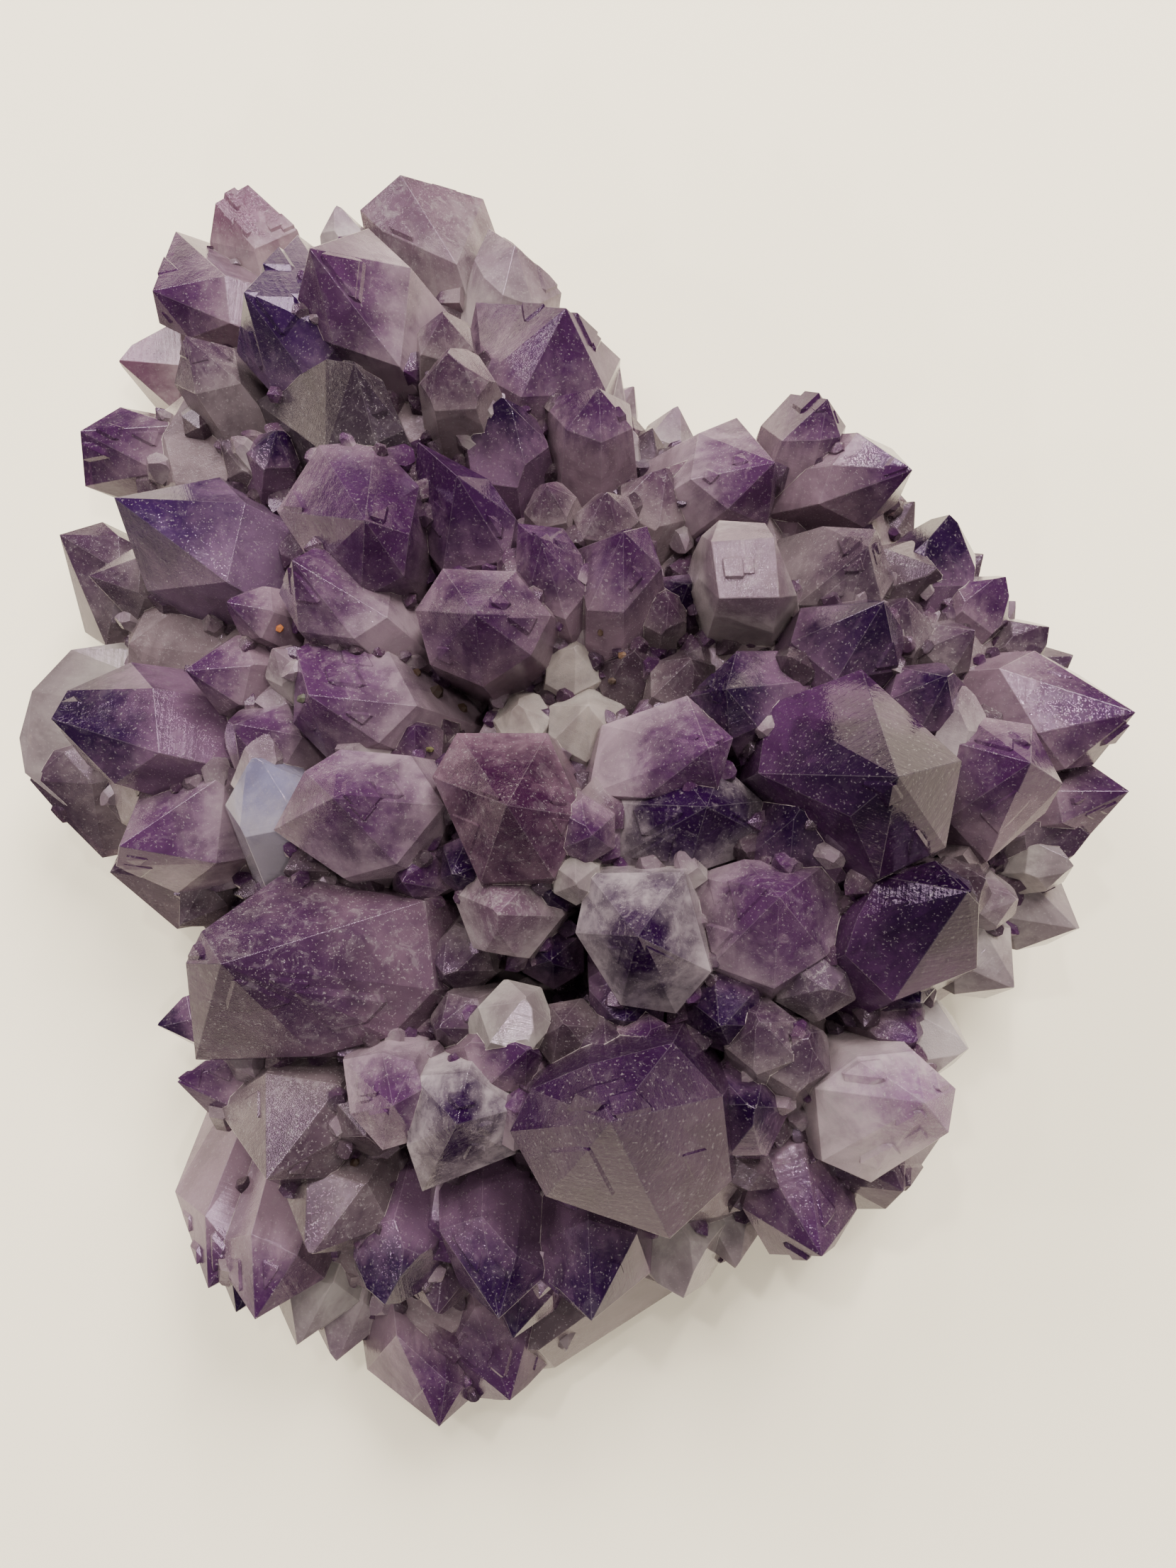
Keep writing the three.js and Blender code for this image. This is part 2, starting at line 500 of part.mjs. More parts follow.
// Outer surface alone: pockets closed in between the crystals are filled
function outerSkin({ vertProperties, triVerts }) {
  const leader = Array.from({ length: vertProperties.length / 3 }, (_, i) => i);
  const find = (i) => {
    let top = i;
    while (leader[top] !== top) top = leader[top];
    leader[i] = top;
    return top;
  };
  for (let i = 0; i < triVerts.length; i += 3) {
    const top = find(triVerts[i]);
    leader[find(triVerts[i + 1])] = top;
    leader[find(triVerts[i + 2])] = top;
  }
  const counts = new Map();
  triVerts.forEach((corner) => counts.set(find(corner), (counts.get(find(corner)) ?? 0) + 1));
  const [largest] = [...counts.entries()].reduce((a, b) => (b[1] > a[1] ? b : a));
  return {
    points: new Float32Array(vertProperties),
    corners: new Uint32Array(triVerts.filter((corner) => find(corner) === largest)),
  };
}

const bodies = bodyLumps.map(lump);
const body = pits.reduce((solid, row) => solid.subtract(pit(row)), wasm.Manifold.union(bodies));
const plain = Object.values(plainCrystals).flat().map(([x, y, height, ...shape], number) => (
  solidRound(plainCorners(place(x, y, height), ...shape, number))
));
const traced = Object.values(tracedCrystals).flat().map((row) => solidRound(tracedCorners(row)));
const under = underRows.flatMap(underRimCrystals);

// Everything grown together as one solid, cut off flat underneath, with its plan centred
const cutBox = new THREE.BoxGeometry(cutSize, cutSize, cutSize);
cutBox.translate(0, 0, cutSize / 2);
const grown = wasm.Manifold.union([body, ...plain, ...traced, ...under]);
const skin = outerSkin(grown.intersect(solidOf(cutBox)).getMesh());
const geometry = new THREE.BufferGeometry();
geometry.setAttribute("position", new THREE.BufferAttribute(skin.points, 3));
geometry.setIndex(new THREE.BufferAttribute(skin.corners, 1));
geometry.translate(-planMiddle.x, -planMiddle.y, 0);
geometry.computeVertexNormals();

const amethystCluster = new THREE.Mesh(geometry, stone);
amethystCluster.name = "amethyst_cluster";
const model = new THREE.Group();
model.add(amethystCluster);

export default model;
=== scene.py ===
# Amethyst cluster, dressed: clear chamfered crystals over the imported solid, the coloured zones
# inside them, the small crystals in the gaps and on the end faces, the pale dust along the
# joins, a few grains of other minerals, and dark grains that darken the two hollows.
import itertools
import math

import bmesh
import bpy
import numpy as np
from mathutils import Matrix, Vector
from mathutils.bvhtree import BVHTree


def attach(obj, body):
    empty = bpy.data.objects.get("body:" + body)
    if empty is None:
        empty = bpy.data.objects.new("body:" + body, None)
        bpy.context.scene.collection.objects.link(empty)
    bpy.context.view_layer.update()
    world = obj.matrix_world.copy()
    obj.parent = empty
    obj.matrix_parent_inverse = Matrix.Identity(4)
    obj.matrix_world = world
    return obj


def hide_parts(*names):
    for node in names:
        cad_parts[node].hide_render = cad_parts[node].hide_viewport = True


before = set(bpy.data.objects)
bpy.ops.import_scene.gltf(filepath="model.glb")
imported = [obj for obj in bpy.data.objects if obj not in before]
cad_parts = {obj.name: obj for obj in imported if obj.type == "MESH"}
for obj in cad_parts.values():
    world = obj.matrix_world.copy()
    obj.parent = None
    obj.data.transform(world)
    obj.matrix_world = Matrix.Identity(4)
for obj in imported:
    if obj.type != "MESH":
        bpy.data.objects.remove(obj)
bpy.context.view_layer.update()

mm = 0.001

# where the photograph was taken from; crystal places are read on a level plane at planeHeight
survey = {
    "planeHeight": 40,
    "distance": 166.1,
    "tiltRight": 6,        # degrees off straight down
    "tiltNear": 9,
    "planMiddle": (-10.51, 10.5),
    "lens": 27.03,         # mm, for a picture 36 mm high
    "sensor": 36,
}

# shape of the quartz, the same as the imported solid's
habit = {
    "endFaceAngle": 51.8,
    "cornerCone": 42,
    "longestBody": 44,
    "leastRise": 0.1,
    "belowBase": 2,
    "widestCornerGap": 95,
    "cornerSpacing": 62,
    "endFaceUnevenness": 0.03,
    "sideUnevenness": 0.06,
    "bodyFlare": 7,
    "searchReach": 1.5,
    "searchSteps": 240,
    "samePoint": 0.05,
    "flattestMeeting": 1e-4,  # three planes closer to parallel have no useful corner
    "planeSlack": 1e-6,
    "faceOffsets": {
        "three": [0, 0.1, 0, 0.1, 0, 0.1],
        "six": [0, 0.03, 0.01, 0.04, 0, 0.02],
        "roof": [0, 0.14, 0.14, 0, 0.14, 0.14],
        "slant": [-0.14, 0.02, 0.06, 0.1, 0.06, 0.02],
    },
}

# tip x, tip y on the survey plane, tip height, heading, lean, width, turn, habit, tone
plainCrystals = {
    "upper left lobe": [
        [-66.4, 60, 18, 185, 50, 15, 10, "six", "blush"],
        [-35.3, 81.8, 27, 95, 55, 7, 30, "six", "pale"],
        [-19.8, 60.5, 50, 90, 12, 10, 0, "three", "dusty"],
        [-12.5, 54, 44, 80, 25, 12, 0, "slant", "deep"],
        [-70.5, 29, 28, 180, 50, 12, 0, "six", "smoke"],
        [-56.5, 16, 42, 185, 40, 11, 30, "six", "violet"],
        [-27, 38, 44, 60, 20, 9, 0, "six", "deep"],
    ],
    "notch between the lobes": [
        [4, 60, 28, 50, 55, 9, 0, "six", "pale"],
        [6.5, 56, 20, 45, 55, 7, 0, "six", "pale"],
        [12.7, 53.3, 18, 70, 50, 8, 0, "six", "pale"],
        [9, 50.5, 28, 60, 35, 8, 30, "six", "grey"],
        [11, 45, 40, 60, 35, 11, 0, "six", "dusty"],
        [2.5, 41, 46, 80, 20, 9, 0, "six", "dusty"],
    ],
    "left shoulder": [
        [-50.5, 8.5, 47, 150, 18, 13, 0, "six", "lilac"],
        [-57.5, -20, 20, 240, 52, 9, 30, "six", "grey"],
        # pale quartz, its bluish white tone a painted reflection
        [-47.5, 3.5, 47, 100, 35, 12, 0, "six", "pale_with_painted_reflection"],
        [-26, -13.5, 46, 240, 20, 9, 0, "six", "violet"],
    ],
    "middle and hollow": [
        [0, 11, 44, 60, 15, 11, 0, "six", "hoar"],
        [6.5, 18.5, 42, 60, 10, 12, 20, "six", "grey"],
        [14.5, 17.5, 46, 60, 20, 9, 0, "six", "grey"],
        [14.5, 28.5, 42, 40, 15, 9, 0, "six", "deep"],
        [-13, -18.5, 54, 260, 10, 13, 0, "six", "frost"],
        [-5, -25, 44, 300, 15, 9, 0, "six", "deep"],
        [-20, -27, 44, 250, 20, 9, 0, "six", "smoke"],
        [-9, -30.5, 52, 50, 30, 9, 30, "six", "clear"],
        [-9, -37.5, 50, 20, 30, 10, 0, "six", "violet"],
        [-3.5, -34, 50, 100, 15, 9, 0, "six", "grey"],
        [2, -36.5, 50, 60, 15, 12, 0, "six", "smoke"],
        [5, -33, 48, 270, 20, 10, 30, "six", "deep"],
    ],
    "right lobe": [
        [46, 39.8, 24, 40, 50, 7, 0, "six", "grey"],
        [50.5, 38, 40, 75, 46, 12.5, 30, "three", "deep"],
        [49.5, 30.5, 43, 350, 32, 10, 0, "six", "grey"],
        [55.8, 32.5, 26, 30, 50, 8, 0, "six", "smoke"],
        [59, 29.2, 38, 38, 50, 10, 30, "three", "violet"],
        [60.3, 26, 25, 40, 50, 6.5, 0, "six", "pale"],
        [68.6, 18.2, 26, 20, 50, 6, 0, "six", "smoke"],
        [45, 26, 46, 80, 25, 9, 0, "six", "smoke"],
        [51, 15.5, 52, 40, 20, 10, 0, "six", "deep"],
        [70.8, -7.5, 32, 350, 50, 10, 30, "three", "smoke"],
        [69, -20, 26, 330, 45, 12, 0, "six", "clear"],
        [60.5, -28.3, 36, 315, 42, 11, 0, "six", "clear"],
        [30, -4, 54, 110, 15, 14, 0, "six", "deep"],
        [26, -27, 48, 280, 20, 12, 30, "six", "deep"],
        [34, -29, 50, 300, 15, 11, 0, "six", "etched"],
        [24, -33.5, 50, 110, 20, 9, 0, "six", "smoke"],
        [31, -36, 48, 60, 25, 9, 0, "six", "smoke"],
        [18.5, -34, 50, 250, 15, 11, 0, "six", "deep"],
        [46.5, -31, 46, 300, 30, 9, 30, "six", "deep"],
    ],
    "lower lobe": [
        [-60.7, -34.3, 20, 192, 62, 8, 30, "six", "deep"],
        [-31, -50, 46, 300, 20, 10, 0, "six", "grey"],
        [-39, -66, 42, 255, 35, 13, 0, "six", "grey"],
        [-41, -79.5, 24, 262, 52, 13, 0, "six", "clear"],
        [-49.5, -74.5, 22, 262, 50, 7, 0, "six", "deep"],
        [-35.5, -81.7, 19, 265, 55, 12, 0, "six", "pale"],
        [-29, -73.5, 38, 265, 45, 12, 30, "three", "deep"],
        [-21, -75, 32, 285, 40, 10, 0, "six", "smoke"],
        [-10.6, -78, 30, 262, 52, 9, 30, "six", "deep"],
        [-3, -80, 20, 290, 50, 10, 0, "six", "clear"],
        [13.5, -73, 26, 275, 55, 14, 30, "three", "clear"],
        [21, -68.5, 24, 280, 50, 10, 0, "six", "clear"],
        [53.8, -37, 42, 350, 40, 11, 0, "six", "white"],
        [23, -46, 48, 30, 15, 12, 0, "six", "deep"],
    ],
}

# the same for the small ones, which only the dressed part has
smallCrystals = {
    "upper left lobe": [
        [-20.5, 66.5, 47, 70, 20, 8, 0, "six", "dusty"],
        [-44, 50, 40, 45, 30, 8, 0, "six", "deep"],
        [-52, 48.5, 38, 150, 35, 7, 0, "six", "grey"],
        [-51, 25.5, 44, 170, 40, 8, 30, "six", "violet"],
        [-44.5, 19, 46, 120, 25, 6.5, 0, "six", "pale"],
    ],
    "notch between the lobes": [
        [14.5, 46, 38, 60, 25, 7, 0, "six", "frost"],
        [-6, 42, 46, 100, 15, 7, 0, "six", "dusty"],
    ],
    "left shoulder": [
        [-43, -12, 44, 200, 30, 8, 0, "six", "grey"],
        [-24.5, 8, 44, 60, 20, 7.5, 0, "six", "violet"],
        [-20.5, 9, 38, 60, 20, 5, 0, "six", "dusty"],
    ],
    "middle and hollow": [
        [-10, 11.5, 42, 90, 15, 8, 0, "six", "hoar"],
        [-2, 19, 42, 60, 15, 8.5, 0, "six", "hoar"],
        [11, 27, 44, 60, 20, 7, 0, "six", "dusty"],
        [-19, -12.5, 50, 230, 20, 8, 0, "six", "deep"],
        [-13.5, -14, 50, 260, 15, 8, 0, "six", "deep"],
        [-5.5, -15.5, 50, 280, 15, 7, 0, "six", "deep"],
        [-1.5, -14, 54, 300, 15, 6, 0, "six", "clear"],
        [0.5, -7, 56, 330, 20, 8, 30, "six", "violet"],
        [-21, -34.5, 46, 200, 20, 8, 0, "six", "smoke"],
        [8.3, -35.5, 50, 60, 15, 7, 0, "six", "violet"],
    ],
    "right lobe": [
        [65, 22, 34, 20, 50, 8, 30, "three", "smoke"],
        [54.5, 21.5, 43, 20, 38, 8, 30, "six", "smoke"],
        [68.5, -11.5, 33, 350, 35, 7, 0, "six", "clear"],
        [56, -13.5, 46, 20, 25, 8, 0, "six", "grey"],
        [60.5, -16, 40, 0, 30, 7, 0, "six", "pale"],
    ],
    "lower lobe": [
        [46.5, -36, 44, 330, 25, 7, 0, "six", "violet"],
    ],
}

# tip x, y, height, heading, lean, tone, seen corners, and a level crest where there is one
tracedCrystals = {
    "upper left lobe": [
        [-48.6, 69.4, 49, 165, 28, "plum",
            [[-41, 77.5], [-35.3, 69], [-34.6, 63], [-44.5, 55], [-49.4, 60.5]]],
        [-39.3, 75.6, 53, 140, 14, "lilac", [[-31, 78.4], [-25, 72.8], [-26.5, 58.8], [-35.8, 62]]],
        [-33, 59.3, 50, 95, 30, "slate",
            [[-47, 54], [-39, 50], [-30, 48], [-26, 50], [-29, 57], [-37, 60]]],
        [-10.3, 76, 27, 65, 52, "pale",
            [[-14, 78.4], [-16, 74], [-12, 69], [-5, 67], [-3.7, 69.3], [-6.5, 72.6]]],
        [-74.6, 35.2, 24, 150, 45, "smoke", [[-68.5, 37], [-66, 30], [-68, 19.5], [-71, 21.5]]],
        [-26.5, 86, 29, 100, 42, "frost",
            [[-32.2, 81], [-29, 78], [-18.5, 73.3], [-13.5, 79], [-14.8, 82.6]]],
        [-3.1, 67.2, 42, 65, 38, "violet",
            [[-15.8, 68], [-16.8, 63], [-9.5, 54.6], [2.5, 55.5], [4.6, 60]]],
        [-31.5, 37.2, 55, 300, 6, "violet",
            [[-38, 47.8], [-30, 48.5], [-23.8, 42], [-25.2, 35.2], [-38.5, 30.3], [-43.9, 38.5]]],
        [-66.9, 40.4, 43, 155, 42, "plum", [[-52, 43.3], [-51, 28.5], [-62.2, 27.2]]],
        [-41.8, 31.6, 52, 140, 24, "lilac",
            [[-35, 35.4], [-27, 34.3], [-28.3, 23.5], [-33, 20.5], [-40.8, 21.5], [-43.6, 27]]],
        [-71.7, 49.8, 28, 175, 50, "violet", [[-66, 53.2], [-58, 50.6], [-60.5, 44], [-71, 42]]],
        [-56.9, 63.3, 38, 125, 44, "smoke", [[-50, 61.5], [-49, 56.5], [-58.4, 56.5]]],
        [-61.5, 69.6, 27, 176, 48, "violet", [[-58.2, 78], [-53.7, 73.8], [-50.5, 65], [-60.5, 65]]],
        [-48, 84.6, 21, 98, 52, "blush", [[-52.6, 82], [-53.4, 76.5], [-47, 75.5], [-41, 78.2]]],
        [1.5, 55.9, 45, 80, 33, "violet", [[-7, 54.2], [-3, 50], [6.3, 50.2], [5.9, 53.6]]],
        [-18.5, 43.5, 51, 110, 15, "gloss",
            [[-24, 48.3], [-14, 43], [-10.2, 37.5], [-11.2, 31.7], [-20.5, 30], [-25.1, 36]]],
        [-6.5, 34, 51, 100, 14, "violet",
            [[-9.9, 36.8], [-3.5, 36.1], [-0.2, 27], [-3.2, 23.2], [-10.3, 30]]],
        [5, 35.6, 52, 80, 22, "violet", [[-1.8, 33], [8.3, 36.4], [10.4, 30.5], [5, 24.2], [0, 24.5]]],
        [-16, 24, 57, 270, 8, "violet",
            [[-20.5, 30.4], [-10.3, 30], [-5.2, 23.8], [-8, 18.2],
             [-14.8, 13.7], [-22.3, 16.8], [-24.4, 24.5]]],
    ],
    "left shoulder": [
        [-39.5, 12.6, 51, 175, 20, "lilac",
            [[-41.2, 19], [-36, 22], [-28.5, 19.3], [-24.2, 11], [-29.5, 5.8], [-36.5, 3.3], [-41.6, 8.5]]],
        [-80.3, 6.5, 24, 180, 60, "clear",
            [[-78.5, 13.2], [-73, 19], [-66, 20], [-74, -3], [-79.5, 1.5]]],
        [-78.8, 0.5, 22, 205, 60, "smoke", [[-77, 5], [-70, 0], [-65, -7], [-68.5, -10.5], [-74, -5]]],
        [-67.5, -12.5, 20, 215, 58, "smoke",
            [[-66, -10], [-57, -15.5], [-51, -14.5], [-49, -19], [-58, -20.5]]],
        [-75.8, 9.2, 41, 172, 47, "deep", [[-73.5, 13.2], [-64.5, 17.2], [-60.5, 4.4], [-66.8, 0]]],
        [-66.2, -8.8, 38, 205, 42, "lilac",
            [[-62, 1.6], [-51, 1.6], [-52.5, -11.2], [-58, -15.4], [-66.6, -11.6]]],
        [-36, -2, 58, 180, 6, "lilac",
            [[-40, 1.8], [-35, 4.9], [-25, 4], [-20.3, -3], [-27, -11.3], [-34.5, -13.3], [-44.4, -6.5]]],
    ],
    "middle": [
        [-11.5, -3, 62, 90, 3, "rose",
            [[-22, 1], [-18.5, 7.2], [-5.7, 7.2], [-0.6, -4.6], [-4.8, -13.3], [-15.2, -14]]],
        [7, -21.5, 61, 260, 8, "core",
            [[0, -12.6], [13.5, -12.4], [17.4, -26.5], [12.4, -32.4], [4.6, -31.2], [-1.8, -21]]],
    ],
    "right lobe": [
        [33.8, 54.4, 41, 70, 42, "violet", [[28.6, 55.1], [24.4, 50.6], [32.8, 48.5], [36.4, 50.5]]],
        [45.8, 44.3, 41, 345, 44, "violet", [[38, 49.6], [34.5, 45], [32.5, 39.5], [39, 36.2]]],
        [26.4, 45.4, 44, 5, 34, "lilac", [[21, 51.7], [15.6, 49.5], [14.5, 43], [19.7, 38.8]]],
        [23, 30.6, 55, 300, 4, "pale",
            [[16, 35], [18.5, 37.2], [25, 36.8], [29.5, 26.6], [26.2, 21.9], [18.3, 23.4], [15.6, 29]],
            [[18.5, 26.2], [27, 26.3], [26.3, 34.8], [17.4, 34.2]]],
        [39.5, 33.5, 49, 60, 18, "smoke",
            [[33, 36.4], [40.6, 36], [43.3, 29], [37, 25.2], [29.3, 25.2], [26.3, 34.4]]],
        [41.8, 25.8, 53, 50, 28, "deep", [[30, 24.8], [28.6, 20], [35, 14.6], [43.8, 16]]],
        [43.8, 1, 66, 0, 8, "heart",
            [[38.6, 16.2], [25.4, 11.2], [24, 1.5], [37, -4.6], [41, -13.4], [50.5, -9], [52.7, 3.3]]],
        [62.5, 3, 54, 0, 12, "violet",
            [[53, 9.9], [62.6, 8.4], [67, 0], [64.6, -4], [56.3, -11], [50.6, -5], [49.3, 6.5]]],
        [77.3, 10.1, 42, 357, 47, "violet", [[63, 18.8], [58, 16.3], [63.5, 7.2], [71.3, 2.7]]],
        [76.4, -1, 35, 0, 50, "violet", [[69.8, 3.6], [66, -1], [67, -5.5], [70.8, -7.2]]],
        [17, 5, 57, 20, 12, "lilac",
            [[2, 8.3], [14, 12.5], [20.5, 6.5], [18.3, -0.8], [8, -2], [0, -1.5]]],
        [16.8, -3.2, 56, 0, 10, "core",
            [[12, 3.3], [24.6, -2.4], [27.2, -8.6], [14, -12.8], [2, -11.6], [-0.9, -2.5]]],
        [19.5, 13.4, 55, 150, 14, "deep",
            [[14.2, 12.3], [21, 18.8], [28.5, 18.8], [33.9, 14.8], [24, 8], [20, 6.2]]],
        [53.6, -15.2, 58, 25, 20, "heart",
            [[41.2, -13], [49, -10.8], [55.2, -17], [54.9, -26], [43, -30.7], [36.3, -24], [38, -18.8]]],
        [27, -16, 57, 70, 10, "lilac",
            [[14.2, -13], [22, -10.6], [33.5, -11.3], [38.2, -19], [33.7, -24.2], [17.3, -25.6]]],
    ],
    "lower lobe": [
        [-51.8, -25.4, 56, 185, 20, "mauve",
            [[-54.6, -20.8], [-43.5, -12.9], [-23, -16.5], [-21.6, -29],
             [-28, -35.7], [-38.5, -38.4], [-55.4, -38.9], [-56.8, -25.3]]],
        [-58, -42, 36, 176, 45, "violet", [[-54, -39], [-48, -38.5], [-49.3, -46], [-52.6, -47.4]]],
        [-45.4, -55.8, 47, 255, 26, "grey",
            [[-52.5, -45.5], [-45.5, -40.8], [-35, -42.4], [-31.4, -48], [-36, -55.6]]],
        [-53.6, -71.2, 31, 258, 50, "violet", [[-58.3, -57.5], [-54, -61], [-50.2, -65.5]]],
        [-47, -75.6, 36, 268, 47, "violet", [[-53.8, -65], [-47.5, -63.5], [-41, -66.5]]],
        [-21, -90.7, 25, 287, 52, "violet", [[-31.2, -82.6], [-27, -77.8], [-20, -84.2], [-16.4, -86.6]]],
        [-11, -87, 24, 292, 54, "violet",
            [[-16.5, -86.6], [-19.5, -80], [-16, -74], [-7, -72], [-4.4, -80.5], [-8.6, -85]]],
        [-12.6, -75.5, 43, 278, 40, "deep", [[-21, -63], [-15, -61], [-10.1, -66.5]]],
        [0.5, -75.8, 43, 278, 40, "deep", [[-10.6, -66.5], [-4, -71.4], [0, -61.5], [6.9, -63.4]]],
        [-27.5, -45.4, 53, 300, 10, "lilac",
            [[-34.6, -38.9], [-29, -37.9], [-23.2, -43], [-24, -50.2], [-29, -51.7], [-33.6, -46.5]]],
        [-18.5, -48, 55, 290, 12, "core",
            [[-24.6, -41.2], [-17, -40.8], [-10.1, -45.8], [-10.2, -52.2], [-23.4, -57.5], [-25.6, -51]]],
        [3.2, -47.7, 66, 270, 4, "dome",
            [[-8, -43], [0, -39.6], [12, -36.5], [19, -44],
             [20.3, -56], [11.5, -64.2], [-6, -58.2], [-11, -49]]],
        [44.5, -57.5, 34, 310, 46, "smoke", [[51, -48], [45, -48], [36, -53], [38, -60], [42, -60]]],
        [33, -66.7, 38, 285, 36, "violet",
            [[24, -52], [30.5, -50.4], [38, -60], [34.8, -65.3], [25.6, -66.4]]],
        [47.5, -45, 53, 330, 10, "broken",
            [[32, -43], [38, -38.5], [46, -37.7], [51.9, -43], [50.9, -49.2], [40, -56.2], [33, -53.2]]],
    ],
}

# massive quartz under the crystals: x, y, radius, height; and pits: x, y, radius, floor
bodyLumps = [
    [-34, 61, 18, 29], [-48, 45, 20, 29], [-25, 42, 29, 33], [-55, 20, 15, 26],
    [-57, 4, 16, 26], [-38, 6, 28, 33], [-10, -4, 29, 35], [-36, -22, 18, 31],
    [-3, 42, 16, 29], [16, 30, 21, 31], [32, 34, 15, 27], [22, 6, 29, 37], [41, 12, 21, 37],
    [54, 0, 14, 29], [42, -14, 19, 33], [20, -20, 29, 37], [33, -40, 15, 29],
    [10, -44, 23, 35], [-10, -54, 20, 30], [-30, -54, 21, 26], [-43, -54, 12, 18],
    [-21, -71, 12, 23], [0, 18, 20, 24], [-42, 22, 16, 24],
]
lumpTiers = [[1.05, 0], [1, 0.4], [0.85, 0.8], [0.55, 1]]  # shares of the radius and height
lumpShape = {"readHeight": 20, "sides": 8, "unevenReach": 0.1, "unevenLift": 0.05}
pitShape = {"readHeight": 40, "sides": 6, "flare": 1.5, "top": 60}
pits = [[-20.5, 15, 7.5, 20], [4.5, 17.5, 5, 26], [-28, 27, 4, 24]]

# outline of the cluster, clockwise from the top left, and the rows of crystals under the rim
rimOutline = [
    [-26.5, 84], [-15, 81], [-3.7, 67], [4.4, 57], [13, 52], [28.4, 53], [35.7, 52],
    [46, 43], [58, 28], [67, 17], [75, 9], [74, -1], [68, -8], [68, -19], [59, -28],
    [53, -38], [50, -48], [43, -56], [32, -65], [14, -71], [1, -74], [-11, -85],
    [-21, -89], [-31, -80], [-46, -74], [-54, -68], [-57, -55], [-57, -42], [-56, -33],
    [-54, -22], [-66, -12], [-77, 0], [-78, 8], [-71, 18], [-71, 35], [-70, 49],
    [-65, 60], [-60, 69], [-56, 77], [-47, 82], [-35, 79],
]
rimReadHeight = 24
underRows = [
    {"height": 15, "inset": 4, "lean": 74, "across": 15, "spacing": 24, "start": 0},
    {"height": 4.5, "inset": 9, "lean": 86, "across": 15, "spacing": 28, "start": 8},
]
underSpread = {"inset": 2, "height": 2.5, "lean": 7, "heading": 16, "across": 0.18, "turn": 60}
underHabits = ["six", "three", "roof", "slant"]
underTones = ["smoke", "grey", "violet", "pale", "lilac", "deep"]

# first numbers of the groups, so that no two crystals share an unevenness
firstNumbers = {"underRow": 1000, "small": 5000, "druse": 7000}

# what varies from crystal to crystal, and the wave that gives the unevenness
traits = ["girth", "end", "heading", "inset", "height", "lean", "across", "turn"]
waveStep = 12.9898
waveScale = 43758.5453

tilt = [math.sin(math.radians(survey["tiltRight"])), -math.sin(math.radians(survey["tiltNear"]))]
toViewer = np.array(tilt + [math.sqrt(1 - tilt[0] ** 2 - tilt[1] ** 2)])
sightUp = np.array([0, 1, 0]) - toViewer * toViewer[1]
sightUp /= np.linalg.norm(sightUp)
sightRight = np.cross(sightUp, toViewer)
viewer = np.array([0, 0, survey["planeHeight"]]) + toViewer * survey["distance"]
middle = np.array([*survey["planMiddle"], 0])

# grains of other minerals, and dark grains that darken the two hollows: x and y on the survey plane, width
# and colour (sRGB)
specks = {
    "seed": 5,
    "stretch": [0.7, 1.15],
    "proud": 0.12,          # how far the middle stands out, in widths
    "rough": [0.85, 1.15],  # how far each corner lies from the middle
    "rows": [
        [-43.5, 22.0, 1.3, (0.62, 0.36, 0.18)],
        [-40.1, 12.0, 1.6, (0.16, 0.15, 0.10)],
        [-22.3, 4.9, 1.4, (0.30, 0.28, 0.17)],
        [-32.9, -53.5, 1.5, (0.20, 0.13, 0.10)],
        # these six lie in the two hollows and make them darker
        [4.9, 18.2, 1.5, (0.30, 0.20, 0.13)],
        [-21.5, 12.8, 2.2, (0.17, 0.11, 0.09)],
        [-17.8, 10.6, 1.6, (0.22, 0.15, 0.11)],
        [-24.2, 15.6, 1.5, (0.24, 0.16, 0.12)],
        [3.4, 14.6, 1.4, (0.21, 0.15, 0.12)],
        [1.8, 21.4, 1.2, (0.26, 0.19, 0.15)],
    ],
}


def sightLine(x, y):
    # from the viewer through x, y on the plane that faces it
    x, y = np.asarray(x, float)[..., None], np.asarray(y, float)[..., None]
    return x * sightRight + y * sightUp - survey["distance"] * toViewer


def place(x, y, height):
    # the point seen at x, y that lies at a height
    line = sightLine(x, y)
    return viewer + line * ((height - viewer[2]) / line[..., 2])[..., None]


def uneven(number, trait, amount):
    # fractional part of a steep sine, the same in every run
    phase = (np.asarray(number, float) + traits.index(trait) / len(traits)) * waveStep
    wave = np.sin(phase) * waveScale
    return (2 * (wave - np.floor(wave)) - 1) * amount


def crystalAxes(heading, lean):
    h, t = math.radians(heading), math.radians(lean)
    axis = np.array([math.sin(t) * math.cos(h), math.sin(t) * math.sin(h), math.cos(t)])
    top = np.array([-math.cos(t) * math.cos(h), -math.cos(t) * math.sin(h), math.sin(t)])
    return axis, top, np.cross(axis, top)


def planeCorners(normals, reaches):
    # every three planes' common point, where no plane cuts it off
    threes = np.array(list(itertools.combinations(range(len(normals)), 3)))
    sets = normals[threes]
    fine = np.abs(np.linalg.det(sets)) > habit["flattestMeeting"]
    points = np.linalg.solve(sets[fine], reaches[threes[fine]][..., None])[..., 0]
    return points[(points @ normals.T <= reaches + habit["planeSlack"]).all(1)]


def bodyLength(tip, axis):
    rise = max(axis[2], habit["leastRise"])
    return min((tip[2] + habit["belowBase"]) / rise, habit["longestBody"])


